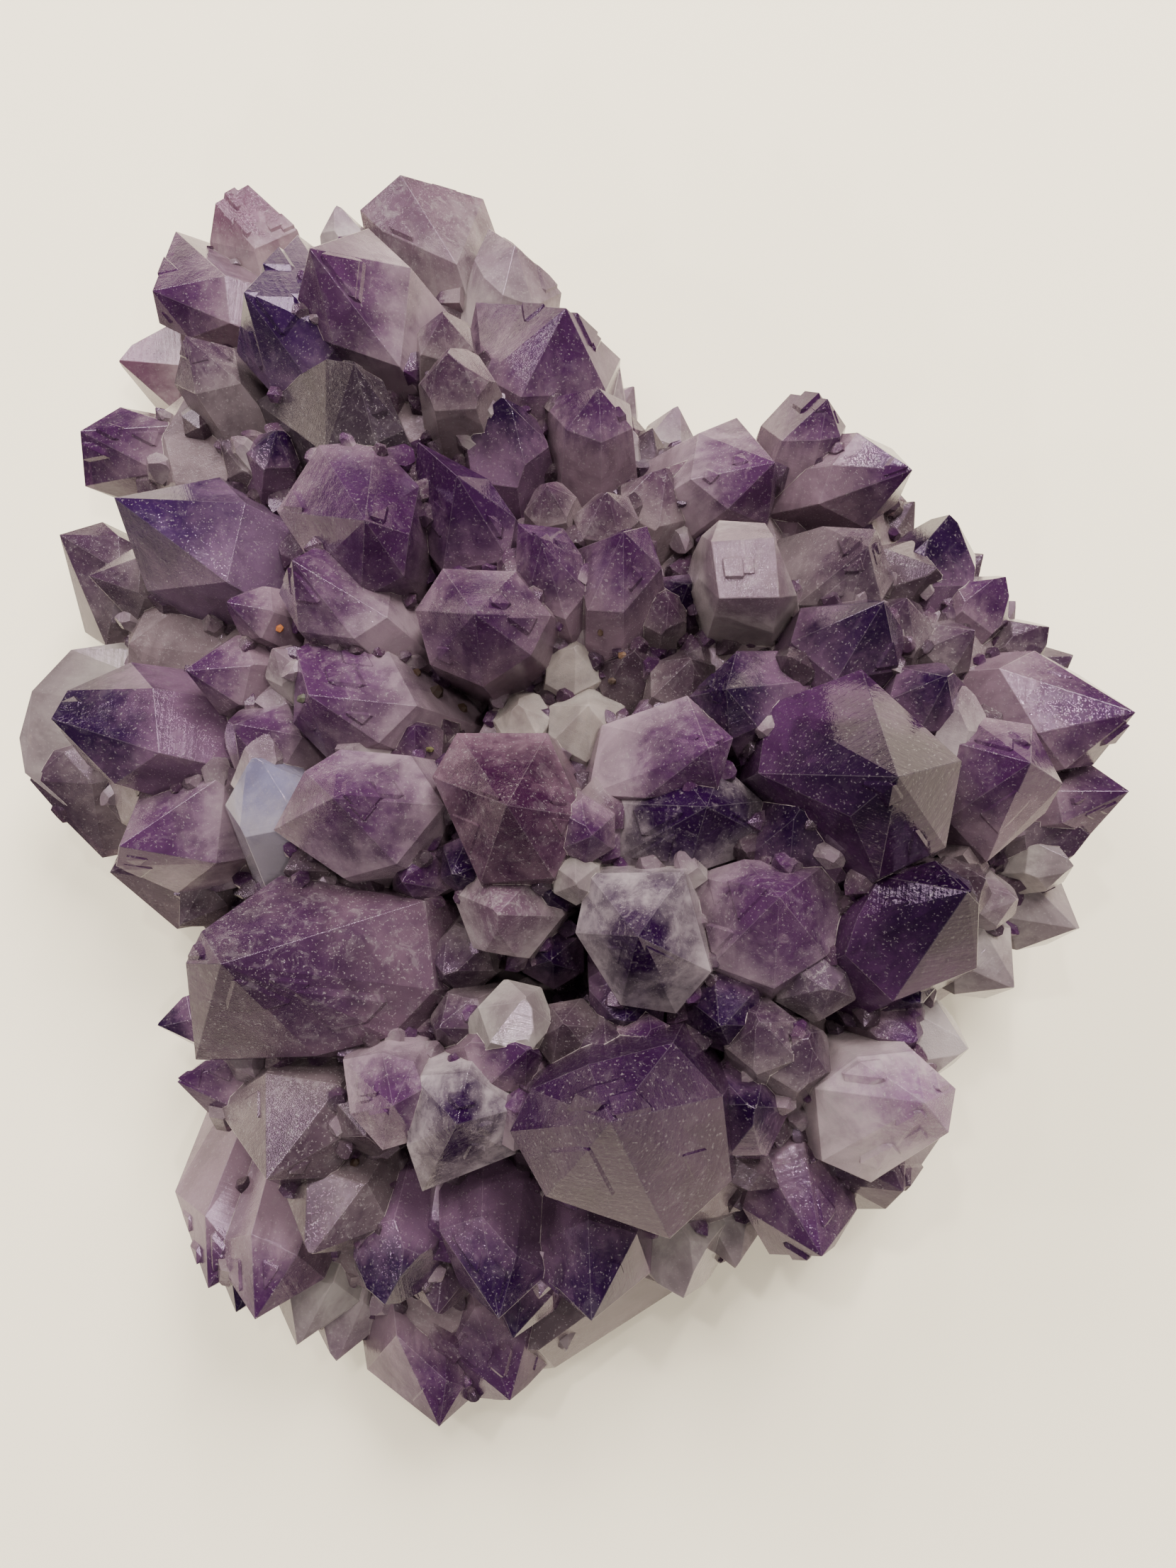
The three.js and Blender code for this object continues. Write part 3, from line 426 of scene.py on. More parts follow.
def plainCorners(tip, heading, lean, across, turn, shape, number, length=None):
    # six sides at half the width from the axis, six end faces on the tip, and a flat back
    axis, top, side = crystalAxes(heading, lean)
    order = np.arange(6)
    angle = np.radians(turn) + 2 * np.pi * order / 6
    out = np.cos(angle)[:, None] * top + np.sin(angle)[:, None] * side
    reach = across / 2 * (1 + uneven(number * 6 + order, "girth", habit["sideUnevenness"]))
    steep, flare = math.radians(habit["endFaceAngle"]), math.radians(habit["bodyFlare"])
    shoulder = tip + (out - axis * math.tan(steep)) * reach[:, None]
    wall = out * math.cos(flare) + axis * math.sin(flare)
    end = axis * math.cos(steep) + out * math.sin(steep)
    offset = np.array(habit["faceOffsets"][shape])
    offset = offset + uneven(number * 6 + order, "end", habit["endFaceUnevenness"])
    back = length or bodyLength(tip, axis)
    normals = np.vstack([wall, end, -axis])
    reaches = np.hstack([(wall * shoulder).sum(1), end @ tip + across * offset, -axis @ tip + back])
    return planeCorners(normals, reaches)


def onCone(tip, axis, x, y):
    # first point of a sight line inside the cone behind the tip, or its nearest pass
    line = sightLine(x, y)
    line /= np.linalg.norm(line)
    along = (tip - viewer) @ line
    reach = np.linalg.norm(tip - viewer - line * along) * habit["searchReach"]
    steps = along + reach * np.linspace(-1, 1, habit["searchSteps"] + 1)
    points = viewer + steps[:, None] * line
    arm = tip - points
    angle = np.arccos(np.clip(arm @ axis / np.linalg.norm(arm, axis=1), -1, 1))
    inside = np.flatnonzero(angle <= math.radians(habit["cornerCone"]))
    return points[inside[0] if len(inside) else angle.argmin()]


def tracedCorners(row):
    # seen corners set on the cone, unseen ones filled in, and the same ring again at the tail
    x, y, height, heading, lean, _, seen, *crest = row
    tip = place(x, y, height)
    axis, top, side = crystalAxes(heading, lean)
    ring = []
    for cx, cy in seen:
        point = onCone(tip, axis, cx, cy)
        arm = point - tip
        ring.append((math.atan2(arm @ side, arm @ top), -(arm @ axis), point))
    ring.sort(key=lambda corner: corner[0])
    shoulder = [corner[2] for corner in ring]
    for (fromAngle, fromDepth, _), (toAngle, toDepth, _) in zip(ring, ring[1:] + ring[:1]):
        gap = (toAngle - fromAngle) % (2 * math.pi)
        if gap <= math.radians(habit["widestCornerGap"]):
            continue
        steps = math.floor(gap / math.radians(habit["cornerSpacing"]) + 0.5)
        for k in range(1, steps):
            depth = fromDepth + (toDepth - fromDepth) * k / steps
            angle = fromAngle + gap * k / steps
            out = top * math.cos(angle) + side * math.sin(angle)
            spread = depth * math.tan(math.radians(habit["cornerCone"]))
            shoulder.append(tip - axis * depth + out * spread)
    shoulder = np.array(shoulder)
    length = bodyLength(tip, axis)
    arm = shoulder - tip
    out = arm - (arm @ axis)[:, None] * axis
    out /= np.linalg.norm(out, axis=1)[:, None]
    tail = shoulder - axis * length + out * length * math.tan(math.radians(habit["bodyFlare"]))
    level = [place(cx, cy, height) for cx, cy in (crest[0] if crest else [])]
    return np.vstack([tip, *level, shoulder, tail])


def lumpCorners(row, number):
    # rings of corners, wider below than above, each turned half a side from the one under it
    x, y, radius, height = row
    sides = lumpShape["sides"]
    centre = place(x, y, lumpShape["readHeight"])
    tier, k = np.meshgrid(np.arange(len(lumpTiers)), np.arange(sides), indexing="ij")
    share, rise = np.array(lumpTiers).T
    corner = (number * len(lumpTiers) + tier) * sides + k
    angle = 2 * np.pi * (k + tier / 2) / sides + number
    reach = radius * share[tier] * (1 + uneven(corner, "across", lumpShape["unevenReach"]))
    lift = height * rise[tier] * (1 + uneven(corner, "height", lumpShape["unevenLift"]))
    points = [centre[0] + reach * np.cos(angle), centre[1] + reach * np.sin(angle), lift]
    return np.stack(points, -1).reshape(-1, 3)


def pitCorners(row):
    # a ring at the floor and a wider one at the mouth
    x, y, radius, floor = row
    sides = pitShape["sides"]
    angle = 2 * np.pi * np.arange(sides) / sides
    ring = np.stack([np.cos(angle), np.sin(angle), np.zeros(sides)], -1)
    centre = place(x, y, pitShape["readHeight"])
    return np.vstack([np.array([*centre[:2], floor]) + ring * radius,
                      np.array([*centre[:2], pitShape["top"]]) + ring * radius * pitShape["flare"]])


def underRimCrystals(row, rowNumber):
    # short crystals at even steps along the rim, pointing outwards
    outline = np.array([place(x, y, rimReadHeight) for x, y in rimOutline]) * [1, 1, 0]
    crystals, following, walked = [], row["start"], 0
    for start, stop in zip(outline, np.roll(outline, -1, 0)):
        length = np.linalg.norm(stop - start)
        along = (stop - start) / length
        while following < walked + length:
            number = (rowNumber + 1) * firstNumbers["underRow"] + len(crystals)
            outward = math.degrees(math.atan2(along[0], -along[1]))
            inset = row["inset"] + uneven(number, "inset", underSpread["inset"])
            tip = start + along * (following - walked) - crystalAxes(outward, 90)[0] * inset
            tip[2] = row["height"] + uneven(number, "height", underSpread["height"])
            heading = outward + uneven(number, "heading", underSpread["heading"])
            lean = row["lean"] + uneven(number, "lean", underSpread["lean"])
            across = row["across"] * (1 + uneven(number, "across", underSpread["across"]))
            turn = uneven(number, "turn", underSpread["turn"])
            shape = underHabits[len(crystals) % len(underHabits)]
            tone = underTones[(len(crystals) + rowNumber) % len(underTones)]
            corners = plainCorners(tip, heading, lean, across, turn, shape, number)
            crystals.append(quartz(tip, crystalAxes(heading, lean)[0], across, tone, corners))
            following += row["spacing"]
        walked += length
    return crystals


def quartz(tip, axis, across, tone, corners):
    return {"tip": tip, "axis": axis, "across": across, "tone": tone, "corners": corners}


def tableCrystals(table, firstNumber=0):
    rows = [row for lobe in table.values() for row in lobe]
    for number, (x, y, z, heading, lean, across, turn, shape, tone) in enumerate(rows):
        tip = place(x, y, z)
        corners = plainCorners(tip, heading, lean, across, turn, shape, firstNumber + number)
        yield quartz(tip, crystalAxes(heading, lean)[0], across, tone, corners)


def seenCrystals(table):
    for row in (row for lobe in table.values() for row in lobe):
        tip = place(*row[:3])
        axis = crystalAxes(row[3], row[4])[0]
        corners = tracedCorners(row)
        arm = corners[1:len(row[6]) + 1] - tip
        off = arm - (arm @ axis)[:, None] * axis
        aside = np.cross(axis, [0.3, 0.2, 0.9])
        turn = np.argsort(np.arctan2(off @ aside, off @ np.cross(axis, aside)))
        made = quartz(tip, axis, 2 * np.median(np.linalg.norm(off, axis=1)), row[5], corners)
        made["shoulder"] = corners[1:len(row[6]) + 1][turn]
        yield made


# small crystals in the valleys between the large ones, mm
druse = {
    "seed": 7,
    "step": 0.8,              # between the places tried along a valley
    "apart": 1.0,             # middles, in widths
    "shallowest": 5,          # valleys less deep below the tips have none
    "lowest": 4,
    "steepest": -0.3,         # least upward part of the open side
    "sharpestFold": 0.45,     # cosine between the two faces
    "scatter": 0.35,          # of the way a crystal points
    "stray": 0.3,             # of its place
    "tipsNear": 4,
    "deepest": 30,
    "turn": [17, 60],         # degrees from each to the next, and where it starts again
    "rise": [1.2, 7],
    "riseShare": [0.15, 0.45],
    "across": [2.0, 8],
    "widthShare": [0.8, 1.5],
    "tones": ["dusty", "smoke", "grey", "pale", "lilac", "dusty"],
}

# lesser copies of a crystal grown on its own end faces, parallel to it
growths = {
    "seed": 3,
    "count": [2, 6],
    "down": [0.1, 0.75],      # share of the way from the tip to the shoulder
    "lowest": 0.95,           # share that a growth and its place reach together
    "size": [0.14, 0.42],     # of the crystal
    "rise": [0.25, 0.95],     # mm above the face
    "least": 9,               # mm wide, smaller crystals have none
}

# pale dust caught along the joins, mm
dust = {
    "seed": 11,
    "sharpestFold": 0.93,
    "radius": [0.05, 0.13],
    "proud": 0.7,             # of the radius, above the valley
    "sunk": 0.5,              # and below it
    "overlap": 0.15,
    "stray": 0.03,
    "colour": (0.36, 0.31, 0.30, 1),
}

# solids of the clear stone
stone = {
    "chamfer": 0.12,      # width of the worn edges, mm
    "flattestEdge": 0.97, # half the sum of two faces' directions, edges past it aren't worn
    "sharpestEdge": 0.2,
    "zoneShare": 0.92,    # size of the coloured zone inside a crystal
    "zoneCentre": 1.1,    # widths below the tip that the zone shrinks towards
    "zoneFloor": 0.6,     # height at which the zones end, mm
    "box": [200, 400],    # half width and height of the space the joined solid is kept in
    "leastRise": 0.02,    # how far a face stands over its neighbour in a valley
    "shortestJoin": 0.5,
    "nearFace": 0.08,     # how far a face may lie from the solid it is counted to
    "nearBox": 0.01,
    "sameFacing": 0.99,   # cosine
    "shade": 0.76,        # how deep the colours of the tones are laid on
}


def hullOf(points, merge):
    # convex hull with its faces outwards
    shape = bmesh.new()
    for point in points:
        shape.verts.new(point)
    if merge:
        bmesh.ops.remove_doubles(shape, verts=shape.verts, dist=merge)
    made = bmesh.ops.convex_hull(shape, input=shape.verts)
    spare = {v for v in made["geom_interior"] + made["geom_unused"]
             if isinstance(v, bmesh.types.BMVert)}
    bmesh.ops.delete(shape, geom=list(spare), context="VERTS")
    bmesh.ops.recalc_face_normals(shape, faces=shape.faces)
    if shape.calc_volume(signed=True) < 0:
        bmesh.ops.reverse_faces(shape, faces=shape.faces)
    return shape


def hullPlanes(points, cutWidth):
    # the planes of a convex solid, and one more across each edge, as wide as the cut
    shape = hullOf(points, habit["samePoint"])
    bmesh.ops.dissolve_limit(shape, angle_limit=math.radians(1), verts=shape.verts, edges=shape.edges)
    planes = [(f.normal.copy(), max(f.normal.dot(v.co) for v in f.verts)) for f in shape.faces]
    for edge in shape.edges if cutWidth else []:
        if len(edge.link_faces) != 2:
            continue
        across = edge.link_faces[0].normal + edge.link_faces[1].normal
        half = across.length / 2
        if half < stone["flattestEdge"]:
            # depth = half the width times the tangent of half the turn
            depth = cutWidth / 2 * math.sqrt(1 - half ** 2) / max(half, stone["sharpestEdge"])
            across.normalize()
            planes.append((across, max(v.co.dot(across) for v in edge.verts) - depth))
    mainCount = len(shape.faces)
    shape.free()
    return np.array([p[0] for p in planes]), np.array([p[1] for p in planes]), mainCount


def cleaned(points, cutWidth):
    # corners of a convex solid worked out from its planes, and the planes in their box
    normals, reaches, mainCount = hullPlanes(points, cutWidth)
    corners = np.unique(np.round(planeCorners(normals, reaches), 4), axis=0)
    return corners, (normals, reaches, mainCount, corners.min(0), corners.max(0))


def joined(name, massive, removed, solids, floor=0.0):
    # massive quartz less the pits, then the crystals, all above the floor
    scene = bpy.context.scene
    groups = {key: bpy.data.collections.new(name + key) for key in ("massive", "pits", "crystals")}
    made = []

    def put(points, collection):
        shape = hullOf(points, 0)
        if not all(len(e.link_faces) == 2 for e in shape.edges):
            print("left out an open solid", len(made))
            shape.free()
            return
        mesh = bpy.data.meshes.new(f"{name}{len(made)}")
        shape.to_mesh(mesh)
        shape.free()
        made.append(bpy.data.objects.new(mesh.name, mesh))
        collection.objects.link(made[-1])

    put(massive[0], scene.collection)
    first = made[0]
    for key, members in [("massive", massive[1:]), ("pits", removed), ("crystals", solids)]:
        scene.collection.children.link(groups[key])
        for points in members:
            put(points, groups[key])
    half, top = stone["box"]
    block = np.array(list(itertools.product([-half, half], [-half, half], [floor, top])))
    put(block, scene.collection)
    steps = [("UNION", groups["massive"]), ("DIFFERENCE", groups["pits"]),
             ("UNION", groups["crystals"]), ("INTERSECT", made[-1])]
    for operation, other in steps:
        step = first.modifiers.new(operation, "BOOLEAN")
        step.operation = operation
        step.solver = "MANIFOLD"
        if operation == "INTERSECT":
            step.object = other
        else:
            step.operand_type = "COLLECTION"
            step.collection = other
    graph = bpy.context.evaluated_depsgraph_get()
    graph.update()
    mesh = bpy.data.meshes.new_from_object(first.evaluated_get(graph))
    mesh.name = name
    for o in made:
        old = o.data
        bpy.data.objects.remove(o)
        bpy.data.meshes.remove(old)
    for group in groups.values():
        bpy.data.collections.remove(group)
    return mesh


def arrays(mesh):
    def read(items, key, width, kind):
        values = np.zeros(len(items) * width, kind)
        items.foreach_get(key, values)
        return values.reshape(-1, width) if width > 1 else values
    return {
        "points": read(mesh.vertices, "co", 3, np.float32).astype(float),
        "cornerPoint": read(mesh.loops, "vertex_index", 1, np.int32),
        "cornerEdge": read(mesh.loops, "edge_index", 1, np.int32),
        "faceCorners": read(mesh.polygons, "loop_total", 1, np.int32),
        "normals": read(mesh.polygons, "normal", 3, np.float32).astype(float),
        "centres": read(mesh.polygons, "center", 3, np.float32).astype(float),
        "edgePoints": read(mesh.edges, "vertices", 2, np.int32),
    }


def joins(mesh, sharpestFold):
    # pieces of the valleys between crystals: the middle, the way it opens, and both ends
    data = arrays(mesh)
    face = np.repeat(np.arange(len(data["faceCorners"])), data["faceCorners"])
    first, second = face[np.argsort(data["cornerEdge"], kind="stable")].reshape(-1, 2).T
    normals, centres = data["normals"], data["centres"]
    rise = ((centres[second] - centres[first]) * normals[first]).sum(1)
    fold = (normals[first] * normals[second]).sum(1)
    ends = data["points"][data["edgePoints"]]
    length = np.linalg.norm(ends[:, 1] - ends[:, 0], axis=1)
    open2 = normals[first] + normals[second]
    open2 /= np.maximum(np.linalg.norm(open2, axis=1), 1e-6)[:, None]
    kept = (rise > stone["leastRise"]) & (fold < sharpestFold) & (length > stone["shortestJoin"])
    kept &= (ends[..., 2].min(1) > druse["lowest"]) & (open2[:, 2] > druse["steepest"])
    count = np.ceil(length[kept] / druse["step"]).astype(int)
    edge = np.repeat(np.flatnonzero(kept), count)
    rank = np.arange(len(edge)) - np.repeat(np.cumsum(count) - count, count)
    share = (rank[:, None] + [0, 0.5, 1]) / np.repeat(count, count)[:, None]
    parts = ends[edge, :1] + (ends[edge, 1:] - ends[edge, :1]) * share[..., None]
    return parts[:, 1], open2[edge], parts[:, ::2]


def parallelGrowths(crystal, number, shoulder):
    # each stands between two ridges, its faces parallel to the crystal's
    chances = np.random.default_rng([growths["seed"], number])
    tip, corners = crystal["tip"], crystal["corners"]
    for _ in range(chances.integers(*growths["count"])):
        k = chances.integers(len(shoulder))
        first, second = shoulder[k] - tip, shoulder[(k + 1) % len(shoulder)] - tip
        down, aside = chances.uniform(*growths["down"]), chances.uniform(0, 1)
        size = chances.uniform(*growths["size"])
        spot = tip + (first * aside + second * (1 - aside)) * min(down, growths["lowest"] - size)
        spot = spot + crystal["axis"] * chances.uniform(*growths["rise"])
        yield quartz(tip, crystal["axis"], crystal["across"], crystal["tone"],
                     spot + (corners - tip) * size)


def seamDust(mesh):
    # a thin three-sided bead along each valley, lying on both faces
    points, ways, ends = joins(mesh, dust["sharpestFold"])
    chances = np.random.default_rng(dust["seed"])
    along = ends[:, 1] - ends[:, 0]
    length = np.linalg.norm(along, axis=1)
    along /= length[:, None]
    aside = np.cross(along, ways)
    radius = chances.uniform(*dust["radius"], len(points))[:, None]
    half = along * (length * 0.5 + dust["overlap"])[:, None]
    shift = chances.normal(0, dust["stray"], (len(points), 2, 1))
    sunk = ways * radius * dust["sunk"]
    ring = [ways * radius * dust["proud"], aside * radius - sunk, -aside * radius - sunk]
    corners = [points + end * half + shift[:, side] * aside + bit
               for side, end in enumerate([-1, 1]) for bit in ring]
    corners = np.stack(corners, 1)
    faces = np.array([[0, 2, 1], [3, 4, 5], [0, 1, 4], [0, 4, 3],
                      [1, 2, 5], [1, 5, 4], [2, 0, 3], [2, 3, 5]])
    rows = (np.arange(len(points)) * 6)[:, None, None] + faces
    bead = bpy.data.meshes.new("seamDust")
    bead.from_pydata(corners.reshape(-1, 3), [], rows.reshape(-1, 3))
    return bead


def druseCrystals(mesh, neighbours):
    # the deeper the valley below the nearest tips, the larger the crystal that stands in it
    chances = np.random.default_rng(druse["seed"])
    tips = np.array([c["tip"] for c in neighbours])
    points, ways, _ = joins(mesh, druse["sharpestFold"])
    points = points + chances.normal(0, druse["stray"], points.shape)
    ways = ways + chances.normal(0, druse["scatter"], ways.shape)
    ways /= np.linalg.norm(ways, axis=1)[:, None]
    arm = tips[None] - points[:, None]
    nearest = np.argsort((arm ** 2).sum(2), axis=1)[:, :druse["tipsNear"]]
    above = np.take_along_axis((arm * ways[:, None]).sum(2), nearest, 1)
    deep = np.clip(np.sort(above, axis=1)[:, -2], 0, druse["deepest"])
    rise = np.clip(deep * chances.uniform(*druse["riseShare"], len(deep)), *druse["rise"])
    across = np.clip(rise * chances.uniform(*druse["widthShare"], len(rise)), *druse["across"])
    taken = np.zeros((0, 4))
    crystals = []
    for k in chances.permutation(np.flatnonzero(deep > druse["shallowest"])):
        apart = np.linalg.norm(taken[:, :3] - points[k], axis=1)
        if (apart < druse["apart"] * (taken[:, 3] + across[k]) / 2).any():
            continue
        taken = np.vstack([taken, [*points[k], across[k]]])
        tip = points[k] + ways[k] * rise[k]
        heading = math.degrees(math.atan2(ways[k][1], ways[k][0]))
        lean = math.degrees(math.acos(min(ways[k][2], 1)))
        shape = underHabits[k % len(underHabits)]
        turn = k * druse["turn"][0] % druse["turn"][1]
        corners = plainCorners(tip, heading, lean, across[k], turn, shape,
                               firstNumbers["druse"] + k, rise[k] + across[k])
        tone = druse["tones"][k % len(druse["tones"])]
        crystals.append(quartz(tip, ways[k], across[k] * 2, tone, corners))
    return crystals


def grains(mesh):
    # small grains of other minerals and dark grains in the two hollows, lodged where the lines of sight
    # meet the crystals
    skin = BVHTree.FromPolygons([v.co for v in mesh.vertices], [p.vertices[:] for p in mesh.polygons])
    chances = np.random.default_rng(specks["seed"])
    points, faces, tints = [], [], []
    for x, y, across, colour in specks["rows"]:
        spot, outward, _, _ = skin.ray_cast(Vector(viewer), Vector(sightLine(x, y)))
        knob = bmesh.new()
        bmesh.ops.create_icosphere(knob, subdivisions=1, radius=across / 2)
        shape = np.array([v.co for v in knob.verts]) * chances.uniform(*specks["stretch"], 3)
        shape *= chances.uniform(*specks["rough"], (len(shape), 1))
        faces += [[v.index + len(points) for v in f.verts] for f in knob.faces]
        points += list(shape + np.array(spot + outward * across * specks["proud"]))
        tints += [[*linear(colour), 1]] * len(shape)
        knob.free()
    made = bpy.data.meshes.new("grains")
    made.from_pydata(points, [], faces)
    layer = made.attributes.new("tint", "FLOAT_COLOR", "POINT")
    layer.data.foreach_set("color", np.array(tints, np.float32).ravel())
    return made


def outerSkin(mesh):
    # keeps the largest connected surface, so that no pocket is left inside
    shape = bmesh.new()
    shape.from_mesh(mesh)
    seen, groups = set(), []
    for vert in shape.verts:
        if vert in seen:
            continue
        group, waiting = [], [vert]
        seen.add(vert)
        while waiting:
            here = waiting.pop()
            group.append(here)
            for edge in here.link_edges:
                there = edge.other_vert(here)
                if there not in seen:
                    seen.add(there)
                    waiting.append(there)
        groups.append(group)
    groups.sort(key=len)
    for group in groups[:-1]:
        bmesh.ops.delete(shape, geom=group, context="VERTS")
    shape.to_mesh(mesh)
    shape.free()
    return mesh


def facePlane(mesh, planes):
    # which solid each face lies on: the one whose surface passes through the face's middle
    data = arrays(mesh)
    centres, slack = data["centres"], stone["nearBox"]
    best = np.full(len(centres), stone["nearFace"])
    owner = np.full(len(best), -1)
    edgeCut = np.zeros(len(best), bool)
    for number, (normals, reaches, mainCount, low, high) in enumerate(planes):
        near = np.flatnonzero(((centres > low - slack) & (centres < high + slack)).all(1))
        if len(near) == 0:
            continue
        gap = np.abs((centres[near] @ normals.T - reaches).max(1))
        facing = (data["normals"][near] @ normals.T).max(1) > stone["sameFacing"]
        better = (gap < best[near]) & facing
        closer = near[better]
        best[closer] = gap[better]
        owner[closer] = number
        edgeCut[closer] = (data["normals"][closer] @ normals.T).argmax(1) >= mainCount
    return data, owner, edgeCut


# colour of a crystal's tip and root (sRGB), and how frosted it is
tones = {
    "blush": [(0.56, 0.40, 0.50), (0.78, 0.68, 0.71), 0.3],
    "rose": [(0.26, 0.11, 0.25), (0.62, 0.49, 0.56), 0.3],
    "violet": [(0.32, 0.16, 0.35), (0.63, 0.52, 0.59), 0.2],
    "slate": [(0.25, 0.19, 0.25), (0.33, 0.28, 0.32), 0.3],
    "plum": [(0.24, 0.11, 0.33), (0.52, 0.40, 0.53), 0.2],
    "mauve": [(0.29, 0.16, 0.31), (0.49, 0.38, 0.46), 0.5],
    "smoke": [(0.34, 0.24, 0.34), (0.60, 0.53, 0.56), 0.3],
    "deep": [(0.17, 0.05, 0.24), (0.52, 0.39, 0.51), 0.15],
    "heart": [(0.14, 0.03, 0.19), (0.35, 0.20, 0.37), 0.05],
    "pale": [(0.60, 0.51, 0.57), (0.82, 0.76, 0.77), 0.5],
    "frost": [(0.52, 0.40, 0.49), (0.78, 0.71, 0.73), 0.9],
    "lilac": [(0.38, 0.22, 0.40), (0.74, 0.64, 0.70), 0.3],
    "grey": [(0.36, 0.28, 0.34), (0.53, 0.46, 0.49), 0.4],
    "dusty": [(0.38, 0.26, 0.37), (0.66, 0.58, 0.61), 0.5],
    "gloss": [(0.26, 0.11, 0.30), (0.60, 0.47, 0.58), 0.0],
    "clear": [(0.64, 0.58, 0.60), (0.80, 0.76, 0.75), 0.1],
    # the next tone: pale quartz whose bluish white is a painted reflection
    "pale_with_painted_reflection": [(0.62, 0.60, 0.74), (0.74, 0.70, 0.76), 0.1],
    "core": [(0.18, 0.04, 0.25), (0.88, 0.81, 0.84), 0.2],
    "etched": [(0.46, 0.37, 0.46), (0.74, 0.67, 0.69), 1.0],
    "white": [(0.80, 0.75, 0.76), (0.92, 0.89, 0.88), 1.0],
    "dome": [(0.24, 0.11, 0.28), (0.29, 0.17, 0.30), 0.2],
    "broken": [(0.62, 0.47, 0.62), (0.88, 0.80, 0.83), 0.9],
    "hoar": [(0.84, 0.79, 0.77), (0.92, 0.88, 0.86), 1.0],
    "milk": [(0.62, 0.54, 0.57), (0.68, 0.61, 0.63), 0.5],
}


def linear(colour):
    colour = np.asarray(colour, float)
    return np.where(colour < 0.04045, colour / 12.92, ((colour + 0.055) / 1.055) ** 2.4)


def giveCrystalValues(mesh, crystals, planes):
    # own: the crystal's own axes, in widths; depth: widths below the tip; worn: on a cut edge
    data, owner, edgeCut = facePlane(mesh, planes)
    print("faces without a crystal", (owner < 0).sum(), "of", len(owner))
    owner = np.where(owner < 0, len(crystals) - 1, owner)
    corner = np.repeat(owner, data["faceCorners"])
    tips = np.array([c["tip"] for c in crystals])
    axes = np.array([c["axis"] for c in crystals])
    across = np.array([c["across"] for c in crystals])
    spots = data["points"][data["cornerPoint"]]
    depth = ((tips[corner] - spots) * axes[corner]).sum(1) / across[corner]
    tints = {}
    for k, key in enumerate(["tipTint", "rootTint"]):
        shades = [[*linear(tones[c["tone"]][k]) * stone["shade"], 1] for c in crystals]
        tints[key] = np.array(shades)[corner]
    frost = np.array([tones[c["tone"]][2] for c in crystals])[corner]
    chance = np.modf(np.sin(corner * waveStep + 3.7) * waveScale)[0] % 1
    top = np.cross([0, 0, 1], axes) + [1e-6, 0, 0]
    top /= np.linalg.norm(top, axis=1)[:, None]
    side = np.cross(axes, top)
    offset = (spots - tips[corner]) / across[corner][:, None]
    own = np.stack([(offset * top[corner]).sum(1), (offset * side[corner]).sum(1), depth], -1)
    layer = mesh.attributes.new("own", "FLOAT_VECTOR", "CORNER")
    layer.data.foreach_set("vector", own.astype(np.float32).ravel())
    worn = np.repeat(edgeCut, data["faceCorners"]).astype(float)
    for key, values in [("depth", depth), ("frost", frost), ("chance", chance), ("worn", worn)]:
        layer = mesh.attributes.new(key, "FLOAT", "CORNER")
        layer.data.foreach_set("value", values.astype(np.float32))
    for key, values in tints.items():
        layer = mesh.attributes.new(key, "FLOAT_COLOR", "CORNER")
        layer.data.foreach_set("color", values.astype(np.float32).ravel())


def finished(name, mesh, material, smooth):
    # from millimetres about the survey's middle to the row frame in metres
    mesh.transform(Matrix.Scale(mm, 4) @ Matrix.Translation(Vector(-middle)))
    mesh.materials.clear()
    mesh.materials.append(material)
    mesh.polygons.foreach_set("use_smooth", np.full(len(mesh.polygons), smooth))
    mesh.update()
    piece = bpy.data.objects.new(name, mesh)
    bpy.context.scene.collection.objects.link(piece)
    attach(piece, "root")
    return piece


# shader nodes
class Value:
    # a socket with arithmetic: each operator adds a Math node
    def __init__(self, tree, socket):
        self.tree, self.socket = tree, socket

    def maths(self, operation, *terms):
        node = self.tree.nodes.new("ShaderNodeMath")
        node.operation = operation
        for slot, term in zip(node.inputs, terms):
            if isinstance(term, Value):
                self.tree.links.new(term.socket, slot)
            else:
                slot.default_value = term
        return Value(self.tree, node.outputs[0])

    def __add__(self, other):
        return self.maths("ADD", self, other)

    def __radd__(self, other):
        return self.maths("ADD", other, self)

    def __sub__(self, other):
        return self.maths("SUBTRACT", self, other)

    def __rsub__(self, other):
        return self.maths("SUBTRACT", other, self)

    def __mul__(self, other):
        return self.maths("MULTIPLY", self, other)

    def __rmul__(self, other):
        return self.maths("MULTIPLY", other, self)


